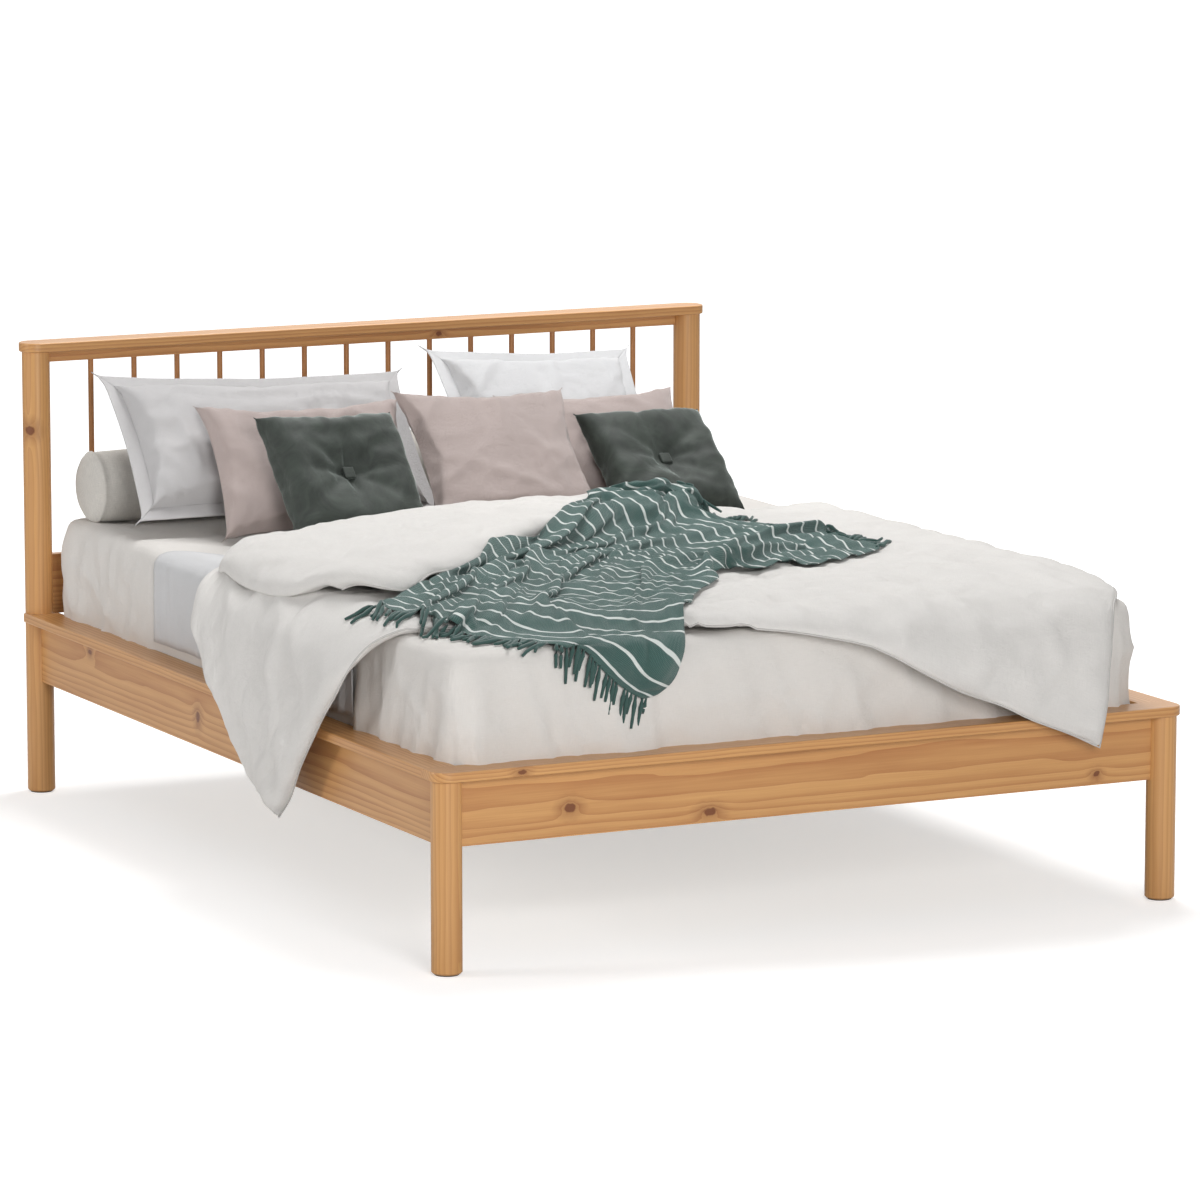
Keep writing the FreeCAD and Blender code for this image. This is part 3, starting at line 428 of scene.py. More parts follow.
def make_materials():
    colours = bpy.context.scene.bed_colours
    make_pine_group()
    make_knot_group()
    make_cloth_group()
    cloth("ticking", colours.ticking, 700.0)
    cloth("grey_cotton", colours.grey_cotton, 1100.0, 0.35, 0.35, 0.0020)
    cloth("white_cotton", colours.white_cotton, 1100.0, 0.25, 0.25, 0.0020)
    cloth("pale_cotton", colours.pale_cotton, 1100.0, 0.25, 0.30, 0.0020)
    cloth("heathered_wool", colours.bolster, 420.0, 1.6, 0.8, 0.0016, Sheen_Weight=0.15)
    cloth("mauve_sateen", colours.mauve, 1300.0, 0.2, 0.5, 0.0020, Roughness=0.62, Sheen_Weight=0.35,
          Sheen_Roughness=0.35)
    cloth("duvet_linen", colours.duvet, 800.0, 0.6, 0.35, 0.0024)
    cloth("seam_linen", dimmed(colours.duvet, 0.62), 800.0)
    make_velvet()
    make_throw_cloth()
    tree, shader, place = new_material("zinc_steel", Metallic=1.0)
    grime = speckle(tree, place["Object"], 60.0, 4.0, 0.6)
    tree.links.new(blend(tree, grime, tuple(colours.steel), dimmed(colours.steel, 0.7)),
                   shader.inputs["Base Color"])
    tree.links.new(spread(tree, grime, 0.3, 0.7, 0.28, 0.5), shader.inputs["Roughness"])
    tree, shader, place = new_material("dark_felt", Roughness=0.95, Sheen_Weight=0.3)
    fuzz = speckle(tree, place["Object"], 900.0, 4.0, 0.7)
    tree.links.new(blend(tree, fuzz, tuple(colours.felt), dimmed(colours.felt, 1.6)),
                   shader.inputs["Base Color"])
    bumped(tree, shader, fuzz, 0.0006)


def make_velvet():
    """Velvet: a dark pile that lightens where it is seen along the surface or brushed."""
    colours = bpy.context.scene.bed_colours
    tree, shader, place = new_material("green_velvet", Roughness=0.72, Sheen_Weight=0.85,
                                       Sheen_Roughness=0.30, Sheen_Tint=(0.70, 0.78, 0.74))
    brushed = speckle(tree, place["Object"], 16.0, 4.0, 0.62, 1.4)
    pile = speckle(tree, place["Object"], 700.0, 2.0, 0.6)
    base = tuple(colours.velvet)
    tone = blend(tree, spread(tree, brushed, 0.35, 0.70), dimmed(base, 0.62), dimmed(base, 1.5))
    tone = blend(tree, spread(tree, pile, 0.3, 0.7, 0.0, 0.35), tone, dimmed(base, 0.4))
    tree.links.new(tone, shader.inputs["Base Color"])
    bumped(tree, shader, weighed(tree, (pile, 0.3), (brushed, 1.0)), 0.0012)


def make_throw_cloth():
    """Green yarn with thin white stripes across the throw, on its UV map in metres."""
    scene = bpy.context.scene
    colours, sizes = scene.bed_colours, scene.bedding_sizes
    tree, shader, place = new_material("striped_weave", Roughness=0.9, Sheen_Weight=0.25)
    wander = speckle(tree, place["UV"], 9.0, 2.0, 0.5)
    parts = node(tree, "ShaderNodeSeparateXYZ", {0: place["UV"]}).outputs
    along = weighed(tree, (parts[1], 1.0), (wander, 0.010))
    phase = maths(tree, "FRACT", maths(tree, "DIVIDE", along, sizes.stripe_spacing))
    off_centre = maths(tree, "ABSOLUTE", maths(tree, "SUBTRACT", phase, 0.5))
    stripe = spread(tree, off_centre, 0.058, 0.080, 1.0, 0.0)
    knit = weighed(tree, (bands(tree, place["UV"], 85.0, "X", 1.5), 0.6),
                   (bands(tree, place["UV"], 160.0, "Y", 1.5), 0.4))
    base = tuple(colours.throw_green)
    green = blend(tree, spread(tree, knit, 0.1, 0.9), dimmed(base, 0.62), dimmed(base, 1.22))
    yarn = blend(tree, stripe, green, tuple(colours.throw_white))
    tree.links.new(yarn, shader.inputs["Base Color"])
    bumped(tree, shader, weighed(tree, (knit, 1.0), (stripe, 0.5)), 0.0014)


# ---- Shapes ----
def smooth_line(points, count):
    """count evenly spaced points on a smooth line through the given ones."""
    p = np.array(points, float)
    ends = np.vstack([2 * p[0] - p[1], p, 2 * p[-1] - p[-2]])
    t = np.linspace(0, 1, 12, endpoint=False)[:, None]
    runs = []
    for i in range(len(p) - 1):
        a, b, c, d = ends[i:i + 4]
        runs.append(0.5 * (2 * b + (c - a) * t + (2 * a - 5 * b + 4 * c - d) * t ** 2
                           + (3 * b - a - 3 * c + d) * t ** 3))
    dense = np.vstack(runs + [p[-1:]])
    reach = np.concatenate([[0], np.cumsum(np.linalg.norm(np.diff(dense, axis=0), axis=1))])
    even = np.linspace(0, reach[-1], count)
    return np.stack([np.interp(even, reach, dense[:, k]) for k in range(p.shape[1])], 1)


def patch(foot, head, left, right, columns, rows):
    """A grid of points spanned between four lines, foot first and head last."""
    f, h = smooth_line(foot, columns + 1)[None], smooth_line(head, columns + 1)[None]
    a, b = smooth_line(left, rows + 1)[:, None], smooth_line(right, rows + 1)[:, None]
    u = np.linspace(0, 1, columns + 1)[None, :, None]
    v = np.linspace(0, 1, rows + 1)[:, None, None]
    corners = ((1 - u) * (1 - v) * f[:, :1] + u * (1 - v) * f[:, -1:]
               + (1 - u) * v * h[:, :1] + u * v * h[:, -1:])
    return (1 - v) * f + v * h + (1 - u) * a + u * b - corners


def rolled(over, radius):
    """How far out and how far down a cloth goes once it is over an edge."""
    turn = np.clip(over / radius, 0, math.pi / 2)
    return radius * np.sin(turn), radius * (1 - np.cos(turn)) + np.maximum(0, over - radius * math.pi / 2)


def unrolled(top, height, radius):
    """How much cloth lies over the edge when it hangs to a height."""
    fall = top - height
    if fall < radius:
        return radius * math.acos(max(-1.0, 1 - max(0.0, fall) / radius))
    return radius * math.pi / 2 + fall - radius


def hung(flat, top, roll):
    """Flat cloth laid on the bed at a height, with what reaches over an edge hanging down."""
    x, y = flat[..., 0], flat[..., 1]
    out_left, down_left = rolled(np.maximum(0, -x - roll["left"][0]), roll["left"][1])
    out_right, down_right = rolled(np.maximum(0, x - roll["right"][0]), roll["right"][1])
    out_foot, down_foot = rolled(np.maximum(0, -y - roll["foot"][0]), roll["foot"][1])
    new_x = np.clip(x, -roll["left"][0], roll["right"][0]) - out_left + out_right
    new_y = np.maximum(y, -roll["foot"][0]) - out_foot
    return np.stack([new_x, new_y, top - down_left - down_right - down_foot], -1)


def uv_map(bm):
    return bm.loops.layers.uv.get("UVMap") or bm.loops.layers.uv.new("UVMap")


def spans(points):
    """The mean length of the rows and of the columns of a grid of points."""
    return [np.linalg.norm(np.diff(points, axis=axis), axis=2).sum(axis).mean() for axis in (1, 0)]


def grid(bm, points):
    """A grid of faces moved onto rows of points, with a UV map in metres. Gives its vertices by row."""
    rows, columns = points.shape[0] - 1, points.shape[1] - 1
    uv = uv_map(bm)
    made = bmesh.ops.create_grid(bm, x_segments=columns, y_segments=rows, size=0.5)["verts"]
    table = [[None] * (columns + 1) for _ in range(rows + 1)]
    for v in made:
        table[round((v.co.y + 0.5) * rows)][round((v.co.x + 0.5) * columns)] = v
    wide, long = spans(points)
    for face in {f for v in made for f in v.link_faces}:
        for loop in face.loops:
            loop[uv].uv = ((loop.vert.co.x + 0.5) * wide, (loop.vert.co.y + 0.5) * long)
    for j, row in enumerate(table):
        for i, v in enumerate(row):
            v.co = points[j, i]
    return table


def rim(table):
    """The vertices round the edge of a grid, in order."""
    return (table[0] + [row[-1] for row in table[1:]] + table[-1][-2::-1]
            + [row[0] for row in table[-2:0:-1]])


def joined_rims(bm, first, second):
    """Closes the gap between the rims of two grids."""
    edges = set()
    for table in (first, second):
        ring = rim(table)
        for a, b in zip(ring, ring[1:] + ring[:1]):
            edges.add(bm.edges.get((a, b)))
    bmesh.ops.bridge_loops(bm, edges=list(edges))


def turn_over(bm, table):
    """Turns the faces of a grid the other way."""
    bmesh.ops.reverse_faces(bm, faces=list({f for row in table for v in row for f in v.link_faces}))


def facing(points):
    """The unit normals of a grid of points."""
    normal = np.cross(np.gradient(points, axis=1), np.gradient(points, axis=0))
    return normal / np.maximum(1e-9, np.linalg.norm(normal, axis=2, keepdims=True))


def edge_distance(points):
    """The rough distance of each point of a grid from the grid's rim."""
    wide, long = spans(points)
    u = np.linspace(0, 1, points.shape[1])[None]
    v = np.linspace(0, 1, points.shape[0])[:, None]
    return np.minimum(np.minimum(u, 1 - u) * wide, np.minimum(v, 1 - v) * long)


def rounded_edge(distance, reach):
    """From 0 at a seam to 1 at reach inside it, along a quarter circle."""
    share = np.clip(distance / reach, 0, 1)
    return np.sqrt(1 - (1 - share) ** 2)


def shell(points, thickness):
    """A closed padded layer round a grid of points."""
    bm = bmesh.new()
    normal = facing(points)
    upper = grid(bm, points + normal * thickness[..., None] / 2)
    lower = grid(bm, points - normal * thickness[..., None] / 2)
    turn_over(bm, lower)
    joined_rims(bm, upper, lower)
    bmesh.ops.recalc_face_normals(bm, faces=bm.faces)
    return bm


def wrinkles(points, scale, seed, sharp=2.0):
    """Ridged noise from 0 to 1 at an array of points."""
    flat = points.reshape(-1, 3) * scale
    values = [noise.noise(Vector(p) + Vector((seed, seed * 0.37, 0))) for p in flat]
    return ((1 - np.abs(np.array(values))) ** sharp).reshape(points.shape[:-1])


def swell(points, scale, seed):
    """Smooth noise from -1 to 1 at an array of points."""
    flat = points.reshape(-1, 3) * scale
    values = [noise.noise(Vector(p) + Vector((seed, 0, seed))) for p in flat]
    return np.array(values).reshape(points.shape[:-1])


def crumple(points, scale, seed, sharp=4.0):
    """Creases that run in changing directions over the first two coordinates, from 0 to 1."""
    x, y, z = points[..., 0], points[..., 1], points[..., 2]
    total = np.zeros(x.shape)
    for k, angle in enumerate((0.35, 1.45, 2.45)):
        across = x * math.cos(angle) + y * math.sin(angle)
        along = y * math.cos(angle) - x * math.sin(angle)
        mask = np.clip(0.55 + 1.8 * swell(points, 2.6, seed + 7 * k), 0, 1)
        ridge = wrinkles(np.stack([across, along * 0.26, z * 0.7], -1), scale, seed + k, sharp=sharp)
        total = np.maximum(total, mask * ridge)
    return total


def layered(points, layers):
    """Some layers of creases on top of each other."""
    return sum(depth * crumple(points, scale, seed) for depth, scale, seed in layers)


def mesh_of(bm, name):
    """The finished mesh of a bmesh, which is freed."""
    mesh = bpy.data.meshes.new(name)
    bm.to_mesh(mesh)
    bm.free()
    return mesh


def in_scene(name, data):
    """A new object in the scene."""
    made = bpy.data.objects.new(name, data)
    bpy.context.scene.collection.objects.link(made)
    return made


def new_piece(name, bm, material, replaced=(), subdivisions=0):
    """Puts a finished mesh in the scene as a piece on the bed, and hides the frame parts that it replaces."""
    mesh = mesh_of(bm, name)
    for face in mesh.polygons:
        face.use_smooth = True
    piece = in_scene(name, mesh)
    mesh.materials.append(finish(material))
    if subdivisions:
        finer = piece.modifiers.new("finer", "SUBSURF")
        finer.levels = finer.render_levels = subdivisions
    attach(piece, "root")
    if replaced:
        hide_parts(*replaced)
    return piece


def positions(mesh):
    co = np.zeros(len(mesh.vertices) * 3, np.float32)
    mesh.vertices.foreach_get("co", co)
    return co.reshape(-1, 3).astype(float)


def settled(bm, frames, pressure=0.0, gravity=0.0, growth=0.0, pinned=(), walls=(), stiffness=15.0, bend=0.5,
            gap=0.003, self_touch=False):
    """Runs a cloth simulation on a mesh and gives the positions that its vertices come to."""
    scene = bpy.context.scene
    bm.verts.index_update()
    pins = [(v.index, weight) for v, weight in pinned]
    mesh = bpy.data.meshes.new("settling")
    bm.to_mesh(mesh)
    before = positions(mesh)
    thing = in_scene("settling", mesh)
    modifier = thing.modifiers.new("cloth", "CLOTH")
    made = modifier.settings
    made.quality = 6
    made.mass = 0.25
    made.air_damping = 2.0
    made.tension_stiffness = made.compression_stiffness = stiffness
    made.shear_stiffness = stiffness / 3
    made.bending_stiffness = bend
    made.shrink_min = -growth
    made.effector_weights.gravity = gravity
    if pressure:
        made.use_pressure = True
        made.uniform_pressure_force = pressure
    if pins:
        group = thing.vertex_groups.new(name="pins")
        for index, weight in pins:
            group.add([index], weight, "REPLACE")
        made.vertex_group_mass = "pins"
    touch = modifier.collision_settings
    touch.use_collision = bool(walls)
    touch.distance_min = gap
    touch.collision_quality = 3
    touch.use_self_collision = self_touch
    touch.self_distance_min = gap
    bodies = []
    for wall in walls:
        body = in_scene("wall", wall)
        body.modifiers.new("wall", "COLLISION")
        body.collision.thickness_outer = gap
        body.collision.cloth_friction = 12.0
        bodies.append(body)
    modifier.point_cache.frame_start = 1
    modifier.point_cache.frame_end = frames
    for step in range(1, frames + 1):
        scene.frame_set(step)
    shaped = thing.evaluated_get(bpy.context.evaluated_depsgraph_get())
    after = positions(shaped.to_mesh())
    shaped.to_mesh_clear()
    scene.frame_set(1)
    for done in [thing] + bodies:
        bpy.data.objects.remove(done)
    return after


def softened(bm, width):
    """Rounds every edge."""
    bmesh.ops.bevel(bm, geom=list(bm.edges), offset=width, segments=3, affect="EDGES", profile=0.5,
                    material=-1)


def block(low, high):
    """A plain block mesh that cloth rests on while it settles."""
    bm = bmesh.new()
    bmesh.ops.create_cube(bm, size=1.0)
    centre, size = (Vector(low) + Vector(high)) / 2, Vector(high) - Vector(low)
    bmesh.ops.scale(bm, vec=size, verts=bm.verts)
    bmesh.ops.translate(bm, vec=centre, verts=bm.verts)
    softened(bm, 0.02)
    return mesh_of(bm, "block")


def capped(before, after, most):
    """Settled positions, with no point further than most from where it started."""
    move = after - before
    far = np.linalg.norm(move, axis=-1, keepdims=True)
    return before + move * np.minimum(1, most / np.maximum(far, 1e-9))


def rows_of(table, places):
    """Settled positions arranged by the rows of a grid."""
    return np.array([[places[v.index] for v in row] for row in table])


# ---- Timber ----
GRAIN = {
    "foot_rail": ("X", (0.3, 0.93, -0.33), [((-0.532, -1.043, 0.301), (0.013, 0.03, 0.010)),
                                           ((-0.231, -1.043, 0.267), (0.015, 0.03, 0.009)),
                                           ((0.635, -1.043, 0.268), (0.008, 0.03, 0.006))]),
    "head_rail": ("X", (1.3, -0.95, -0.30), []),
    "side_rail_left": ("Y", (0.1, 0.71, -0.35), [((-0.797, 0.729, 0.354), (0.03, 0.010, 0.007)),
                                                ((-0.797, 0.144, 0.307), (0.03, 0.011, 0.013))]),
    "side_rail_right": ("Y", (2.1, -0.70, -0.29), []),
    "foot_cap": ("X", (2.4, 1.10, -0.45), [((-0.648, -1.072, 0.385), (0.010, 0.02, 0.005))]),
    "side_cap_left": ("Y", (0.8, 0.85, -0.45), []),
    "side_cap_right": ("Y", (1.8, -0.73, -0.44), []),
    "headboard_cap": ("X", (0.7, -1.00, -0.90), []),
    "headboard_top_rail": ("X", (1.9, -0.98, -0.99), [((0.170, 1.035, 0.951), (0.008, 0.02, 0.006))]),
    "headboard_lower_rail": ("X", (2.9, -0.98, -0.50), []),
    "leg_front_left": ("Z", (0.4, 0.83, 1.00), []),
    "leg_front_right": ("Z", (1.4, -0.75, 1.08), []),
    "post_back_left": ("Z", (2.2, 0.84, -1.00), [((-0.815, 1.012, 0.796), (0.012, 0.02, 0.012))]),
    "post_back_right": ("Z", (3.2, -0.74, -1.00), []),
}
SPINDLES = sorted(name for name in frame["nodes"] if name.startswith("spindle_"))


def paint(names, material):
    for name in names:
        piece = frame["nodes"][name]
        piece.data.materials.clear()
        piece.data.materials.append(material)


class BED_OT_finish_frame(Operator):
    """Gives every timber, steel and felt piece of the frame its finish"""
    bl_idname = "bed.finish_frame"
    bl_label = "Finish the frame"

    def execute(self, context):
        make_materials()
        colours = context.scene.bed_colours
        quiet = [a * 0.36 + b * 0.64 for a, b in zip(colours.pine_light, colours.pine_dark)]
        for name, (axis, shift, knots) in GRAIN.items():
            dark = quiet if axis == "Z" else colours.pine_dark
            paint([name], pine("pine_" + name, axis, shift, knots, dark=dark))
        paint(SPINDLES, pine("pine_spindle", "Z", (0.9, 0.4, -1.0), (), quiet, colours.pine_dark))
        for axis, names in (("X", ["slats"]), ("Y", ["slat_ledger_left", "slat_ledger_right", "centre_beam"]),
                            ("Z", ["centre_leg", "cap_dowels"])):
            planed = pine("planed_pine_" + axis, axis, (0.5, 0.3, -0.2), (), colours.slat_light,
                          colours.slat_dark)
            paint(names, planed)
        steel = [name for name in frame["nodes"]
                 if name.startswith("corner_bracket") or name.endswith(("screws", "bolts", "stud"))]
        paint(steel + ["beam_hangers"], finish("zinc_steel"))
        paint(["felt_glides"], finish("dark_felt"))
        return {"FINISHED"}


# ---- Mattress and sheets ----
def rounded_block(low, high, corner, edge, step, both_ends):
    """A block of even faces with rounded upright corners, and round edges on its top or on both ends."""
    bm = bmesh.new()
    bmesh.ops.create_cube(bm, size=1.0)
    size = high - low
    for axis in range(3):
        along = [e for e in bm.edges if abs(e.verts[0].co[axis] - e.verts[1].co[axis]) > 1e-6]
        bmesh.ops.subdivide_edges(bm, edges=along, cuts=max(1, int(size[axis] / step)))
    centre, half = (low + high) / 2, size / 2
    for v in bm.verts:
        p = Vector([v.co[k] * size[k] for k in range(3)])
        side = Vector((math.copysign(1, p.x), math.copysign(1, p.y)))
        q = Vector((abs(p.x) - (half.x - corner), abs(p.y) - (half.y - corner)))
        if q.x > 0 and q.y > 0:
            q = q * (max(q) / q.length)
            inset = corner - q.length
            out = q.normalized()
        else:
            inset = min(half.x - abs(p.x), half.y - abs(p.y))
            out = Vector((1, 0)) if half.x - abs(p.x) < half.y - abs(p.y) else Vector((0, 1))
        x, y = q.x + half.x - corner, q.y + half.y - corner
        depth = half.z - (p.z if p.z > 0 or not both_ends else -p.z)
        if inset < edge and depth < edge:
            w = Vector((edge - inset, edge - depth))
            w = w * (max(w) / w.length) if w.length > 0 else w
            move = inset - (edge - w.x)
            x, y = x + out.x * move, y + out.y * move
            new_depth = edge - w.y
            p.z = (half.z - new_depth) * (1 if p.z > 0 or not both_ends else -1)
        v.co = centre + Vector((x * side.x, y * side.y, p.z))
    bmesh.ops.recalc_face_normals(bm, faces=bm.faces)
    uv = uv_map(bm)
    for face in bm.faces:
        n = face.normal
        for loop in face.loops:
            p = loop.vert.co
            if abs(n.z) > 0.6:
                loop[uv].uv = (p.x, p.y)
            elif abs(n.y) > abs(n.x):
                loop[uv].uv = (p.x, p.z)
            else:
                loop[uv].uv = (p.y, p.z)
    return bm


class BED_OT_make_mattress(Operator):
    """Makes the mattress, with rounded corners and edges"""
    bl_idname = "bed.make_mattress"
    bl_label = "Make the mattress"

    def execute(self, context):
        bm = rounded_block(MATTRESS_LOW, MATTRESS_HIGH, MATTRESS_CORNER, MATTRESS_EDGE, MATTRESS_FACE, True)
        piece = new_piece("mattress_ticking", bm, "ticking", ["mattress"])
        return {"FINISHED"}


def bell(value, centre, width):
    return np.exp(-((value - centre) / width) ** 2)


class BED_OT_make_fitted_sheet(Operator):
    """Makes the fitted sheet, drawn over the mattress with pulls at its corners and sides"""
    bl_idname = "bed.make_fitted_sheet"
    bl_label = "Make the fitted sheet"

    def execute(self, context):
        gap = 0.0016
        low = MATTRESS_LOW - Vector((gap, gap, -0.001))
        high = MATTRESS_HIGH + Vector((gap, gap, gap))
        bm = rounded_block(low, high, SHEET_CORNER, SHEET_EDGE, SHEET_FACE, False)
        under = [f for f in bm.faces if f.normal.z < -0.9 and f.calc_center_median().z < low.z + 0.001]
        bmesh.ops.delete(bm, geom=under, context="FACES")
        bm.normal_update()
        bm.verts.index_update()
        co = np.array([v.co for v in bm.verts])
        normal = np.array([v.normal for v in bm.verts])
        on_side = 1 - np.clip(np.abs(normal[:, 2]) / 0.6, 0, 1)
        drop = np.clip((high.z - co[:, 2]) / (high.z - low.z), 0, 1)
        along = np.where(np.abs(normal[:, 1]) > np.abs(normal[:, 0]), co[:, 0], co[:, 1])
        pull = wrinkles(np.stack([along * 15 + co[:, 2] * 4, co[:, 2] * 2.2, np.sign(normal[:, 0]) * 3], 1),
                        1.0, 4.1, sharp=4.0)
        soft = swell(co, 4.0, 2.0)
        lift = on_side * (0.0110 * pull * (0.3 + drop) + 0.0030 * (soft + 0.6)) * np.clip(drop * 6, 0, 1)
        top_pull = wrinkles(np.stack([co[:, 0] + co[:, 1] * 0.35, co[:, 1] * 0.5, co[:, 2] * 0], 1),
                            6.0, 9.0, sharp=5.0)
        bare = np.clip((-co[:, 1] - 0.55) / 0.3, 0, 1) + np.clip((-co[:, 0] - 0.60) / 0.1, 0, 1)
        bare_top = (1 - on_side) * np.clip(bare, 0, 1)
        rumple = crumple(co, 14.0, 3.0)
        lift += bare_top * (0.0030 * top_pull + 0.0012 * (soft + 0.6))
        lift += on_side * 0.0085 * rumple * np.clip(drop * 4, 0, 1) + bare_top * 0.003 * rumple
        on_foot, below = normal[:, 1] < -0.5, 0.60 - co[:, 2]
        lift += 0.016 * (bell(co[:, 0], -0.715 + below * 0.05, 0.010) * on_foot * drop)
        creases = sum(bell(co[:, 0], x + below * lean, width) * depth
                      for x, lean, width, depth in SHEET_CREASES)
        lift += creases * on_foot * np.clip(drop * 2.2, 0, 1)
        # Under the flat sheet it lies nearly smooth, so it does not come through
        covered = np.clip((0.530 - np.abs(co[:, 1] + 0.0475)) / 0.02, 0, 1) * (co[:, 0] < 0.66)
        lift = np.minimum(lift, 0.0018 + 0.05 * (1 - covered))
        co = co + normal * lift[:, None]
        for v in bm.verts:
            v.co = co[v.index]
        bmesh.ops.solidify(bm, geom=list(bm.faces), thickness=SHEET_THICKNESS)
        piece = new_piece("fitted_sheet_cotton", bm, "grey_cotton", ["fitted_sheet"])
        return {"FINISHED"}


class BED_OT_make_flat_sheet(Operator):
    """Makes the white upper sheet, which shows beside the duvet and hangs down on the left"""
    bl_idname = "bed.make_flat_sheet"
    bl_label = "Make the flat sheet"

    def execute(self, context):
        turn, radius = FLAT_SHEET_ROLL["left"]
        hem = -turn - unrolled(FLAT_SHEET_TOP, FLAT_SHEET_HEM, radius)
        foot = [(hem, -0.55), (-0.70, -0.55), (0.0, -0.56), (0.63, -0.56)]
        head = [(hem, 0.455), (-0.80, 0.455), (-0.70, 0.435), (-0.60, 0.28), (-0.45, 0.225), (0.1, 0.225),
                (0.63, 0.225)]
        left = [(hem, -0.55), (hem, 0.0), (hem, 0.455)]
        flat = patch(foot, head, left, [(0.63, -0.56), (0.63, 0.225)], *FLAT_SHEET_GRID)
        points = hung(flat, FLAT_SHEET_TOP, FLAT_SHEET_ROLL)
        on_side = np.clip((-points[..., 0] - 0.735) / 0.02, 0, 1)
        y, z = points[..., 1], points[..., 2]
        ripple = wrinkles(np.stack([y * 26, z * 2, z * 0], -1), 1.0, 7.3, sharp=3.0)
        points = points + facing(points) * (on_side * (0.002 + 0.007 * ripple))[..., None]
        bm = shell(points, np.full(points.shape[:2], SHEET_THICKNESS))
        piece = new_piece("flat_sheet_cotton", bm, "white_cotton", ["flat_sheet"])
        return {"FINISHED"}


# ---- Pillows ----
def turned(yaw, lean, roll):
    return (Matrix.Rotation(math.radians(yaw), 4, "Z") @ Matrix.Rotation(math.radians(-lean), 4, "X")
            @ Matrix.Rotation(math.radians(-roll), 4, "Y"))


def crowned(width, height, thickness, draw_in):
    """The front half of a stuffed cushion as a grid of points. Its rim is drawn in between the corners."""
    columns, rows = round(width / PILLOW_FACE), round(height / PILLOW_FACE)
    u = np.linspace(-1, 1, columns + 1)[None, :].repeat(rows + 1, 0)
    v = np.linspace(-1, 1, rows + 1)[:, None].repeat(columns + 1, 1)
    x = u * (width / 2 - draw_in * (1 - v ** 2) * np.abs(u) ** 1.5)
    z = v * (height / 2 - draw_in * (1 - u ** 2) * np.abs(v) ** 1.5)
    crown = ((1 - np.abs(u) ** 2.6) * (1 - np.abs(v) ** 2.6)) ** 0.52
    return np.stack([x, -crown * thickness / 2, z], -1), u, v


def puckers(points, u, v, width, height, seed):
    """Small pleats that the seams draw in the cloth, and longer soft creases."""
    side = (1 - np.abs(u)) * width < (1 - np.abs(v)) * height
    along = np.where(side, v * height / 2 + 3, u * width / 2)
    inside = np.minimum((1 - np.abs(u)) * width, (1 - np.abs(v)) * height) / 2
    pleat = wrinkles(np.stack([along, side * 1.0, along * 0], -1), 30.0, seed, sharp=2.5)
    reach = swell(np.stack([along, side * 1.0, along * 0], -1), 9.0, seed + 3) * 0.5 + 0.5
    near = np.exp(-inside / (0.012 + 0.030 * reach)) * np.clip(inside / 0.006, 0, 1)
    face = points[..., [0, 2, 1]] * np.array([1, 1, 0.2])
    long = crumple(face, 15.0, seed + 5) * np.clip(inside / 0.05, 0, 1)
    fine = crumple(face, 34.0, seed + 9) * np.clip(inside / 0.03, 0, 1)
    return 0.0120 * (pleat - 0.5) * near + 0.0120 * (long - 0.4) + 0.0045 * fine


def puffed(width, height, thickness, draw_in, pressure, seed, tuft=False):
    """A filled cushion of a given size, which a cloth simulation blows up from a slightly thinner form."""
    half, u, v = crowned(width, height, thickness * 0.92, draw_in)
    radius = np.hypot(half[..., 0], half[..., 2])
    if tuft:
        half[..., 1] *= 1 - 0.80 * np.exp(-(radius / 0.055) ** 1.5)
    bm = bmesh.new()
    front = grid(bm, half - np.array([0, 0.0006, 0]))
    back = grid(bm, half * np.array([1, -1, 1]) + np.array([0, 0.0006, 0]))
    turn_over(bm, back)
    joined_rims(bm, front, back)
    bmesh.ops.recalc_face_normals(bm, faces=bm.faces)
    j, i = len(front) // 2, len(front[0]) // 2
    sewn = [v for table in (front, back) for row in table[j - 1:j + 2] for v in row[i - 1:i + 2]]
    pins = [(v, 1.0) for v in sewn] if tuft else []
    bm.verts.index_update()
    before = np.array([w.co for w in bm.verts])
    after = settled(bm, PILLOW_FRAMES, pressure=pressure, growth=0.025, pinned=pins, stiffness=12.0, bend=0.4)
    after = capped(before, after, PILLOW_SHIFT)
    size = after.max(0) - after.min(0)
    after = (after - (after.max(0) + after.min(0)) / 2) * np.array([width, thickness, height]) / size
    for table, turn, shift in ((front, 1, 0), (back, -1, 11)):
        points = rows_of(table, after)
        depth = puckers(points, u, v, width, height, seed + shift)
        if tuft:
            angle = np.arctan2(points[..., 2], points[..., 0])
            ray = (0.5 + 0.5 * np.cos(8 * angle + 1.6 * np.sin(2 * angle + seed))) ** 4
            depth = depth - 0.017 * ray * np.exp(-radius / 0.070) * np.clip(radius / 0.02, 0, 1)
        points = points + facing(points) * turn * depth[..., None]
        for row, places in zip(table, points):
            for w, place in zip(row, places):
                w.co = place
    return bm, front


def stood(bm, x, y, yaw, lean, roll):
    """Turns an upright cushion, moves it to its place and stands it on the bed."""
    bmesh.ops.transform(bm, matrix=turned(yaw, lean, roll), verts=bm.verts)
    lowest = min(v.co.z for v in bm.verts)
    move = Vector((x, y, PILLOW_SEAT + 0.001 - lowest))
    bmesh.ops.translate(bm, vec=move, verts=bm.verts)
    return Matrix.Translation(move) @ turned(yaw, lean, roll)


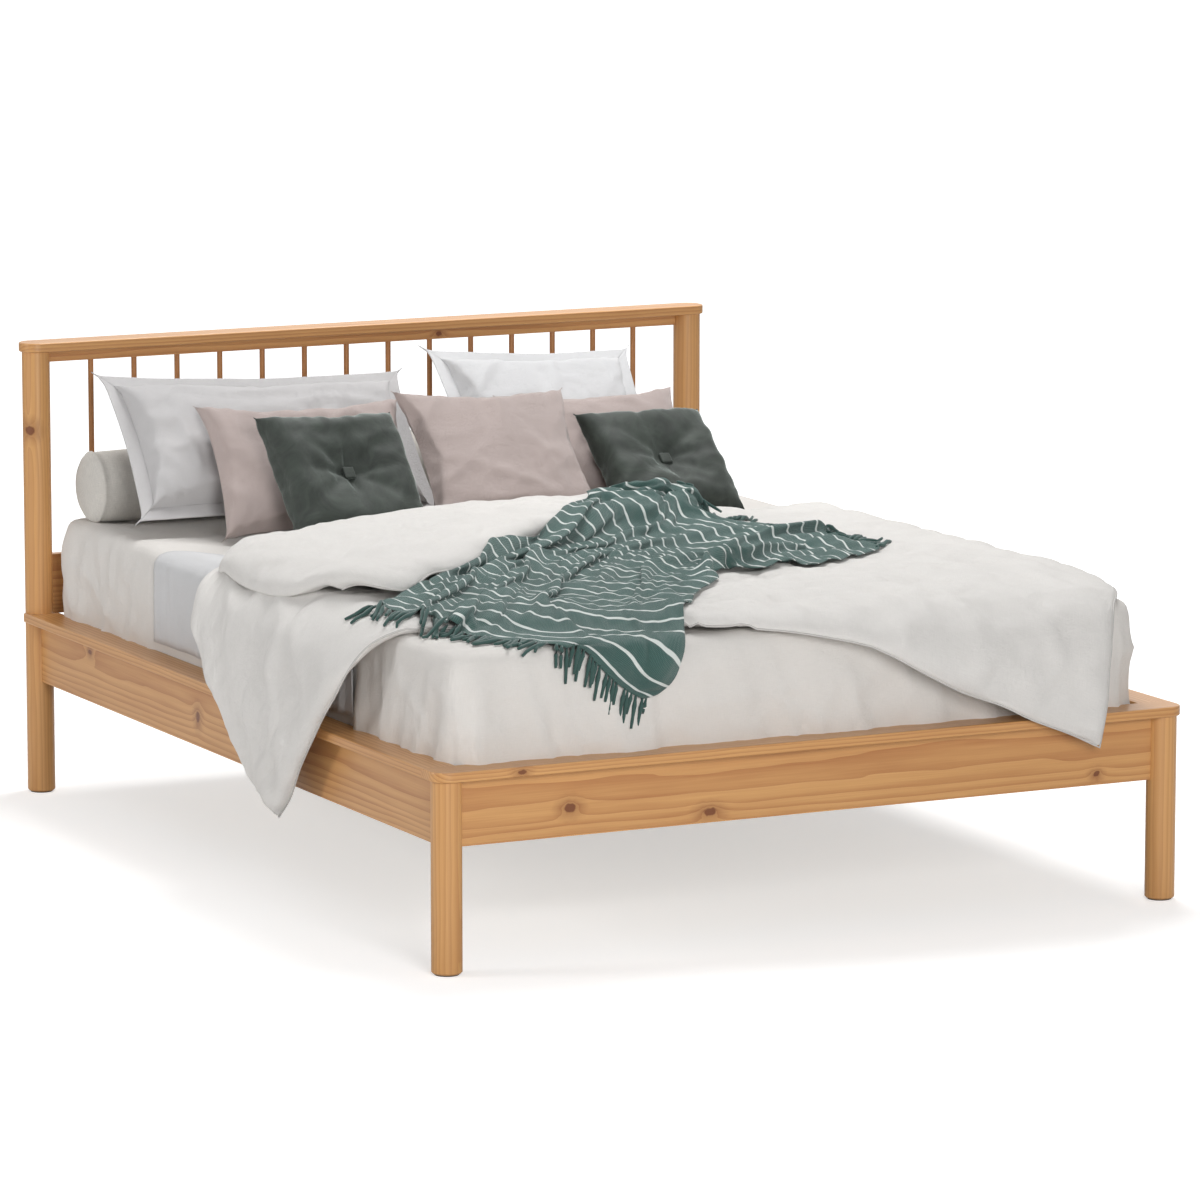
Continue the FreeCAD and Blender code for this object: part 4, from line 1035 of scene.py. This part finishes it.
def add_tube(bm, points, radii, banded=None):
    """A round cord along a line of points, closed at both ends, with one radius for each point.

    banded is a step of the cord, and the UV place that all of this step gets."""
    uv = uv_map(bm)
    points = [points[0]] + list(points) + [points[-1]]
    radii = [0.0] + list(radii) + [0.0]
    last = len(points) - 1
    made = bmesh.ops.create_grid(bm, x_segments=CORD_SIDES, y_segments=last, size=0.5)["verts"]
    steps = {}
    for v in made:
        j = round((v.co.y + 0.5) * last)
        angle = (v.co.x + 0.5) * 2 * math.pi
        along = (points[min(last, j + 2)] - points[max(0, j - 2)]).normalized()
        side = Vector((1, 0, 0)) if abs(along.z) > 0.9 else along.cross(Vector((0, 0, 1)))
        side.normalize()
        up = side.cross(along)
        steps[v] = j
        v.co = points[j] + (side * math.cos(angle) + up * math.sin(angle)) * radii[j]
    for face in {f for v in made for f in v.link_faces} if banded else ():
        if {steps[v] for v in face.verts} == {banded[0], banded[0] + 1}:
            for loop in face.loops:
                loop[uv].uv = (0, banded[1])
    bmesh.ops.remove_doubles(bm, verts=made, dist=0.00002)


class PillowStep:
    """What the three pillow operators share"""

    def place(self, name, material):
        """Makes one cushion. Gives the turn to its place, and the middle of its front before that turn."""
        kind, width, height, thickness, draw_in, x, y, yaw, lean, roll = PILLOWS[name]
        sizes = bpy.context.scene.bedding_sizes
        border = sizes.flange_width if kind == "flanged" else 0.0
        bm, front = puffed(width - 2 * border, height - 2 * border, thickness, draw_in,
                           sizes.pillow_pressure, sum(map(ord, name)) % 17, kind == "tufted")
        middle = front[len(front) // 2][len(front[0]) // 2].co.copy()
        if border:
            self.border(bm, [v.co.copy() for v in rim(front)], width, height, border)
        move = stood(bm, x, y, yaw, lean, roll)
        piece = new_piece(name + "_cover", bm, material, [name], 1)
        return move, middle

    def border(self, bm, seam, width, height, border):
        """Adds the border as a thin closed band round the filled part."""
        edge = np.array(seam)
        scale = np.array([width / (width - 2 * border), 1, height / (height - 2 * border)])
        outer = edge * scale
        rows = []
        for share in np.linspace(-0.12, 1.0, 7):
            row = edge + (outer - edge) * share
            row[:, 1] = row[:, 1] * (1 - max(0, share)) + 0.004 * max(0, share) * np.array(
                [noise.noise(Vector((p[0] * 8, p[2] * 8, 3.0))) for p in row])
            rows.append(row)
        ring = np.stack(rows)
        ring = np.concatenate([ring, ring[:, :1]], 1)
        half = np.array([0, FLANGE_THICKNESS / 2, 0])
        upper = grid(bm, ring - half)
        lower = grid(bm, ring + half)
        turn_over(bm, lower)
        joined_rims(bm, upper, lower)
        seam_ends = [v for table in (upper, lower) for row in table for v in (row[0], row[-1])]
        bmesh.ops.remove_doubles(bm, verts=seam_ends, dist=0.0001)


class BED_OT_make_large_pillows(Operator, PillowStep):
    """Makes the two large pillows with flat borders"""
    bl_idname = "bed.make_large_pillows"
    bl_label = "Make the large pillows"

    def execute(self, context):
        self.place("oxford_pillow_left", "pale_cotton")
        self.place("oxford_pillow_right", "white_cotton")
        return {"FINISHED"}


class BED_OT_make_mauve_pillows(Operator, PillowStep):
    """Makes the three mauve pillows"""
    bl_idname = "bed.make_mauve_pillows"
    bl_label = "Make the mauve pillows"

    def execute(self, context):
        for name in ("mauve_pillow_left", "mauve_pillow_centre", "mauve_pillow_right"):
            self.place(name, "mauve_sateen")
        return {"FINISHED"}


class BED_OT_make_velvet_cushions(Operator, PillowStep):
    """Makes the two velvet cushions and the square buttons sewn through them"""
    bl_idname = "bed.make_velvet_cushions"
    bl_label = "Make the velvet cushions"

    def execute(self, context):
        for word in ("left", "right"):
            move, middle = self.place("velvet_cushion_" + word, "green_velvet")
            bm = bmesh.new()
            bmesh.ops.create_cube(bm, size=BUTTON_SIZE)
            bmesh.ops.scale(bm, vec=(1, BUTTON_FLATNESS, 1), verts=bm.verts)
            softened(bm, 0.004)
            bmesh.ops.translate(bm, vec=middle + Vector((0, -0.004, 0)), verts=bm.verts)
            bmesh.ops.transform(bm, matrix=move, verts=bm.verts)
            new_piece("velvet_button_" + word, bm, "green_velvet", ["cushion_button_" + word], 1)
        return {"FINISHED"}


class BED_OT_make_bolster(Operator):
    """Makes the long round bolster with piped ends"""
    bl_idname = "bed.make_bolster"
    bl_label = "Make the bolster"

    def execute(self, context):
        radius = (BOLSTER_HIGH.z - BOLSTER_LOW.z) / 2 - 0.002
        centre = (BOLSTER_LOW + BOLSTER_HIGH) / 2
        half = (BOLSTER_HIGH.x - BOLSTER_LOW.x) / 2
        profile = [(half, 0.0), (half - 0.002, 0.030), (half - 0.008, 0.058), (half - 0.016, 0.072),
                   (half - 0.021, radius - 0.003), (half - 0.024, radius + 0.0018),
                   (half - 0.028, radius - 0.002), (half - 0.040, radius), (half - 0.10, radius)]
        inner = [(x, radius) for x in np.linspace(half - 0.15, -half + 0.15, 40)]
        profile = profile + inner + [(-x, r) for x, r in reversed(profile)]
        bm = bmesh.new()
        line = [bm.verts.new((x, r, 0)) for x, r in profile]
        for a, b in zip(line, line[1:]):
            bm.edges.new((a, b))
        bmesh.ops.spin(bm, geom=bm.verts[:] + bm.edges[:], cent=(0, 0, 0), axis=(1, 0, 0), angle=2 * math.pi,
                       steps=BOLSTER_STEPS, use_merge=True)
        bmesh.ops.remove_doubles(bm, verts=bm.verts, dist=0.0002)
        bmesh.ops.recalc_face_normals(bm, faces=bm.faces)
        uv = uv_map(bm)
        for face in bm.faces:
            for loop in face.loops:
                p = loop.vert.co
                loop[uv].uv = (p.x + abs(p.y) * 0.3, math.atan2(p.z, p.y) * radius)
        for v in bm.verts:
            p = v.co.copy()
            out = Vector((0, p.y, p.z))
            if out.length > 0.07:
                fold = noise.noise(Vector((p.x * 14, p.y * 20, p.z * 20))) * 0.0020
                v.co += out.normalized() * (fold - 0.001)
            v.co = Vector((v.co.x, v.co.y, max(v.co.z, -radius * 0.975))) + centre
        piece = new_piece("bolster_cover", bm, "heathered_wool", ["bolster"])
        return {"FINISHED"}


# ---- Duvet ----
def hem_line(hem, side):
    """A hem of the duvet given by its height, as points on the flat cloth."""
    start, radius = DUVET_ROLL[side]
    points = []
    for place, height in hem:
        over = start + unrolled(DUVET_TOP, height, radius)
        points.append({"left": (-over, place), "right": (over, place), "foot": (place, -over)}[side])
    return points


def make_piping(name, line):
    """A piped seam along a line of points."""
    bm = bmesh.new()
    add_tube(bm, line, [bpy.context.scene.bedding_sizes.piping_radius] * len(line))
    bmesh.ops.recalc_face_normals(bm, faces=bm.faces)
    new_piece(name, bm, "seam_linen")


class BED_OT_make_duvet(Operator):
    """Makes the duvet: it hangs over three sides of the bed, and its upper band is turned back"""
    bl_idname = "bed.make_duvet"
    bl_label = "Make the duvet"

    def execute(self, context):
        sizes = context.scene.bedding_sizes
        front, back, foot, corner, right = (hem_line(hem, side) for hem, side in (
            (LEFT_HEM_FRONT, "left"), (LEFT_HEM_BACK, "left"), (FOOT_HEM, "foot"), (CORNER_HEM, "foot"),
            (RIGHT_HEM, "right")))
        flat = patch(front + DUVET_FOOT + foot, DUVET_HEAD, back + DUVET_HEAD[:1],
                     corner + right + DUVET_HEAD[-1:], *DUVET_GRID)
        start = hung(flat, DUVET_TOP, DUVET_ROLL)
        bm = bmesh.new()
        table = grid(bm, start)
        pinned = []
        for j, row in enumerate(table):
            for i, v in enumerate(row):
                on_top = abs(v.co.z - DUVET_TOP) < 0.004
                if j >= len(table) - 3:
                    pinned.append((v, 1.0))
                elif on_top and (i % 12 == 6 and j % 12 == 6):
                    pinned.append((v, 0.9))
        walls = [block((-0.750, -1.000, 0.36), (0.750, 1.0, MATTRESS_TOP - 0.001)),
                 block((-CAP_HIGH.x, CAP_LOW.y, RAIL_LOW.z), (CAP_HIGH.x, 1.0, CAP_TOP))]
        after = settled(bm, SETTLING_FRAMES, gravity=1.0, growth=0.035, pinned=pinned, walls=walls,
                        stiffness=10.0, bend=1.0, gap=0.010)
        points = capped(start, rows_of(table, after), DUVET_SHIFT)
        bm.free()
        edge = edge_distance(points)
        loft = 0.008 + (sizes.duvet_loft - 0.008) * rounded_edge(edge, 0.070)
        loft = loft * (0.92 + 0.16 * swell(points, 5.0, 3.0))
        rays = np.zeros(points.shape[:2])
        for n, (x, y) in enumerate(PUCKERS):
            near = np.hypot(points[..., 0] - x, points[..., 1] - y)
            turn = np.arctan2(points[..., 1] - y, points[..., 0] - x)
            loft = loft * (1 - 0.75 * np.exp(-(near / 0.040) ** 2))
            ray = (0.5 + 0.5 * np.cos(6 * turn + n + 1.3 * np.sin(2 * turn))) ** 2
            rays += 0.016 * ray * np.exp(-near / 0.075) * np.clip(near / 0.02, 0, 1)
        inner = rounded_edge(edge, 0.05)
        creases = layered(points, DUVET_CREASES)
        top = points + facing(points) * ((creases + rays - 0.012) * inner)[..., None]
        piece = new_piece("duvet_linen_cover", shell(top, loft), "duvet_linen", ["duvet"], 1)
        # The piping runs along the foot and up the right side, and ends under the fold
        make_piping("duvet_piping", [Vector(p) for p in (*points[0], *points[1:-8, -1])])
        self.fold(sizes)
        return {"FINISHED"}

    def fold(self, sizes):
        """The turned-back upper band, which rolls over the duvet's upper edge and lies on it."""
        flat = patch(FOLD_FREE, [(x, y + 0.012) for x, y in DUVET_HEAD[:-2]] + [(0.42, 0.285)],
                     [(-0.735, -0.440), (-0.790, -0.30), (-0.800, -0.12), (-0.785, 0.062)],
                     [(0.330, 0.130), (0.42, 0.285)], *FOLD_GRID)
        top = DUVET_TOP + 0.042
        points = np.zeros(flat.shape[:2] + (3,))
        points[..., :2] = flat
        v = np.linspace(0, 1, flat.shape[0])[:, None]
        rounding = np.clip((v - 0.90) / 0.10, 0, 1)
        points[..., 2] = top - 0.040 * (1 - np.sqrt(1 - rounding ** 2 * 0.999))
        over = np.clip((-flat[..., 0] - 0.70) / 0.10, 0, 1)
        points[..., 2] -= 0.055 * over ** 2
        turns = flat.shape[1]
        edge_wave = np.sin(np.linspace(0, 26, turns) + 2 * np.sin(np.linspace(0, 7, turns)))[None]
        waves = 0.005 * swell(points, 7.0, 6.0) * (1 - rounding) + 0.007 * edge_wave * bell(v, 0.0, 0.12)
        points[..., 2] += waves
        points[..., 2] -= 0.012 * bell(v, 0.0, 0.05)
        points[..., 1] += 0.008 * edge_wave * bell(v, 0.0, 0.10)
        edge = edge_distance(points)
        loft = 0.006 + (sizes.fold_loft - 0.006) * rounded_edge(edge, 0.045)
        creases = layered(points, FOLD_CREASES)
        points = points + facing(points) * ((creases - 0.007) * rounded_edge(edge, 0.04))[..., None]
        piece = new_piece("duvet_fold", shell(points, loft), "duvet_linen", (), 1)
        make_piping("duvet_fold_piping", [Vector(p) for p in points[0]])


# ---- Throw ----
def joined_mesh(meshes):
    """Some meshes as one that cloth can rest on."""
    bm = bmesh.new()
    for mesh in meshes:
        bm.from_mesh(mesh)
    return mesh_of(bm, "support")


def pushed_out(places, tree, gap):
    """Moves the points that are inside a surface, or too near it, out to a gap."""
    out = places.copy()
    for i, place in enumerate(places):
        here = Vector(place)
        spot, normal, _, distance = tree.find_nearest(here)
        depth = (here - spot).dot(normal)
        if depth < gap and distance < 0.06:
            out[i] = here + normal * (gap - depth)
    return out


class BED_OT_make_throw(Operator):
    """Makes the striped throw, crumpled over the duvet, and the fringe on its two ends"""
    bl_idname = "bed.make_throw"
    bl_label = "Make the throw"

    def execute(self, context):
        sizes = context.scene.bedding_sizes
        flat = patch(THROW_FOOT, THROW_HEAD, THROW_LEFT, THROW_RIGHT, *THROW_GRID)
        start = hung(flat, THROW_TOP, THROW_ROLL)
        u = np.linspace(0, 1, flat.shape[1])[None, :].repeat(flat.shape[0], 0)
        v = np.linspace(0, 1, flat.shape[0])[:, None].repeat(flat.shape[1], 1)
        drift = swell(np.stack([u * 1.3, v * 2.2, u * 0], -1), 1.0, 4.0)
        gather = np.exp(-((v - 0.52) / 0.16) ** 2) * u
        folds = np.sin(2 * math.pi * (5.0 * u + 1.4 * drift + 0.8 * v))
        across = np.sin(2 * math.pi * (3.0 * v + 1.2 * drift + 2.0 * u))
        height = 0.024 + 0.020 * gather + 0.010 * swell(np.stack([u * 2, v * 3, u * 0], -1), 1.0, 9.0)
        start = start + facing(start) * (height * folds + 0.008 * across + 0.014)[..., None]
        bm = bmesh.new()
        table = grid(bm, start)
        beds = [bpy.data.objects[name].data for name in ("duvet_linen_cover", "duvet_fold")]
        low, high = SHEET_LOW - Vector((0.006, 0.008, 0)), SHEET_HIGH + Vector((0.006, 0.006, 0.004))
        support = joined_mesh(beds + [block(low, high)])
        tree = BVHTree.FromPolygons([v.co for v in support.vertices], [p.vertices for p in support.polygons])
        after = settled(bm, SETTLING_FRAMES, gravity=1.0, growth=sizes.growth, walls=[support], stiffness=8.0,
                        bend=0.05, gap=0.003, self_touch=True)
        points = rows_of(table, pushed_out(after, tree, 0.005))
        bm.free()
        bm = shell(points, np.full(points.shape[:2], THROW_THICKNESS))
        piece = new_piece("throw_weave", bm, "striped_weave", ["throw"], 1)
        fringe = self.fringe(points, tree, sizes)
        return {"FINISHED"}

    def fringe(self, points, tree, sizes):
        """Tassels that run on from the two ends and lie on what is under them."""
        bm = bmesh.new()
        for row, inner in ((points[0], points[3]), (points[-1], points[-4])):
            places = np.linspace(0, len(row) - 1, sizes.fringe_count)
            for n, place in enumerate(places):
                i = int(round(place))
                out = Vector(row[i] - inner[i]).normalized()
                turn = noise.noise(Vector((n * 0.7, row[i][0], 0))) * 0.9
                out = Matrix.Rotation(turn, 3, "Z") @ out
                length = sizes.fringe_length * (1 + 0.25 * math.sin(n * 2.3))
                pale = (TASSEL_KNOT, sizes.stripe_spacing / 2) if n % 3 else None
                self.tassel(bm, Vector(row[i]), out, tree, length, pale)
        bmesh.ops.recalc_face_normals(bm, faces=bm.faces)
        return new_piece("throw_fringe", bm, "striped_weave")

    def tassel(self, bm, base, out, tree, length, banded):
        """One knotted tassel, which lies on what is near under it and hangs down elsewhere."""
        line = [base - out * 0.004]
        for step in range(TASSEL_STEPS):
            last = line[-1]
            here = last + out * (length / TASSEL_STEPS)
            fall = last.z - 0.6 * length / TASSEL_STEPS * (step > 0)
            hit = tree.ray_cast(Vector((here.x, here.y, base.z + 0.10)), Vector((0, 0, -1)))[0]
            floor = hit.z + TASSEL_RADIUS + 0.001 if hit else 0.0
            if floor > fall - 0.05:
                here.z = max(min(here.z, fall), floor)
            else:
                here = Vector((last.x + out.x * 0.002, last.y + out.y * 0.002,
                               last.z - length / TASSEL_STEPS * 0.95))
            line.append(here)
        add_tube(bm, line, [TASSEL_RADIUS * share for share in TASSEL_SHAPE], banded)


# ---- Stage ----
class BED_OT_make_stage(Operator):
    """Makes the floor, the lights and the camera"""
    bl_idname = "bed.make_stage"
    bl_label = "Make the stage"

    def execute(self, context):
        scene = context.scene
        scene.view_settings.view_transform = "Standard"
        self.floor()
        self.sky(scene)
        for name, (place, size, power, target) in LIGHTS.items():
            lamp = bpy.data.lights.new(name, "AREA")
            lamp.shape, lamp.size, lamp.energy = "SQUARE", size, power
            holder = in_scene(name, lamp)
            holder.location = place
            holder.rotation_euler = (Vector(target) - Vector(place)).to_track_quat("-Z", "Y").to_euler()
        lens = bpy.data.cameras.new("camera")
        lens.lens, lens.sensor_width, lens.sensor_fit = CAMERA_LENS, CAMERA_SENSOR, "HORIZONTAL"
        lens.clip_end = 200.0
        camera = in_scene("camera", lens)
        camera.location, camera.rotation_euler = CAMERA_PLACE, CAMERA_TURN
        scene.camera = camera
        return {"FINISHED"}

    def floor(self):
        """A pale floor that shows white far away and keeps the bed's shadow."""
        material = bpy.data.materials.new("studio_floor")
        material.use_nodes = True
        tree = material.node_tree
        tree.nodes.clear()
        paper = node(tree, "ShaderNodeBsdfDiffuse", {"Color": (0.80, 0.80, 0.80)}).outputs[0]
        seen = node(tree, "ShaderNodeLightPath").outputs["Is Camera Ray"]
        place = node(tree, "ShaderNodeTexCoord").outputs["Object"]
        level = spread(tree, vector_maths(tree, "LENGTH", place, out="Value"), 1.8, 5.0, 0.50, 1.0)
        strength = maths(tree, "MULTIPLY", seen, level)
        glow = node(tree, "ShaderNodeEmission", {"Color": (1.0, 1.0, 1.0), "Strength": strength})
        both = node(tree, "ShaderNodeAddShader", {0: paper, 1: glow.outputs[0]}).outputs[0]
        node(tree, "ShaderNodeOutputMaterial", {"Surface": both})
        bm = bmesh.new()
        bmesh.ops.create_grid(bm, x_segments=2, y_segments=2, size=60)
        mesh = mesh_of(bm, "studio_floor")
        mesh.materials.append(material)
        in_scene("studio_floor", mesh)

    def sky(self, scene):
        """A white sky that lights the bed weakly."""
        world = bpy.data.worlds.new("studio")
        scene.world = world
        world.use_nodes = True
        tree = world.node_tree
        tree.nodes.clear()
        path = node(tree, "ShaderNodeLightPath").outputs
        seen = maths(tree, "MAXIMUM", maths(tree, "MAXIMUM", path["Is Camera Ray"], path["Is Glossy Ray"]),
                     path["Is Transmission Ray"])
        strength = maths(tree, "ADD", maths(tree, "MULTIPLY", seen, 0.70), 0.30)
        sky = node(tree, "ShaderNodeBackground", {"Color": (1.0, 1.0, 1.0), "Strength": strength})
        node(tree, "ShaderNodeOutputWorld", {"Surface": sky.outputs[0]})


class BED_PT_panel(Panel):
    """Sizes, colours and steps of the dressed bed"""
    bl_idname = "BED_PT_panel"
    bl_label = "Spindle bed"
    bl_space_type = "VIEW_3D"
    bl_region_type = "UI"
    bl_category = "Bed"

    def draw(self, context):
        for group in (context.scene.bedding_sizes, context.scene.bed_colours):
            for name in group.__annotations__:
                self.layout.prop(group, name)
        for step in STEPS:
            self.layout.operator(step.bl_idname)


STEPS = (BED_OT_finish_frame, BED_OT_make_mattress, BED_OT_make_fitted_sheet, BED_OT_make_flat_sheet,
         BED_OT_make_bolster, BED_OT_make_large_pillows, BED_OT_make_mauve_pillows,
         BED_OT_make_velvet_cushions, BED_OT_make_duvet, BED_OT_make_throw, BED_OT_make_stage)
CLASSES = (BeddingSizes, BedColours) + STEPS + (BED_PT_panel,)


def register():
    for kind in CLASSES:
        bpy.utils.register_class(kind)
    bpy.types.Scene.bedding_sizes = PointerProperty(type=BeddingSizes)
    bpy.types.Scene.bed_colours = PointerProperty(type=BedColours)


def unregister():
    del bpy.types.Scene.bed_colours
    del bpy.types.Scene.bedding_sizes
    for kind in reversed(CLASSES):
        bpy.utils.unregister_class(kind)


def main():
    register()
    for step in STEPS:
        group, name = step.bl_idname.split(".")
        getattr(getattr(bpy.ops, group), name)()


if __name__ == "__main__":
    main()
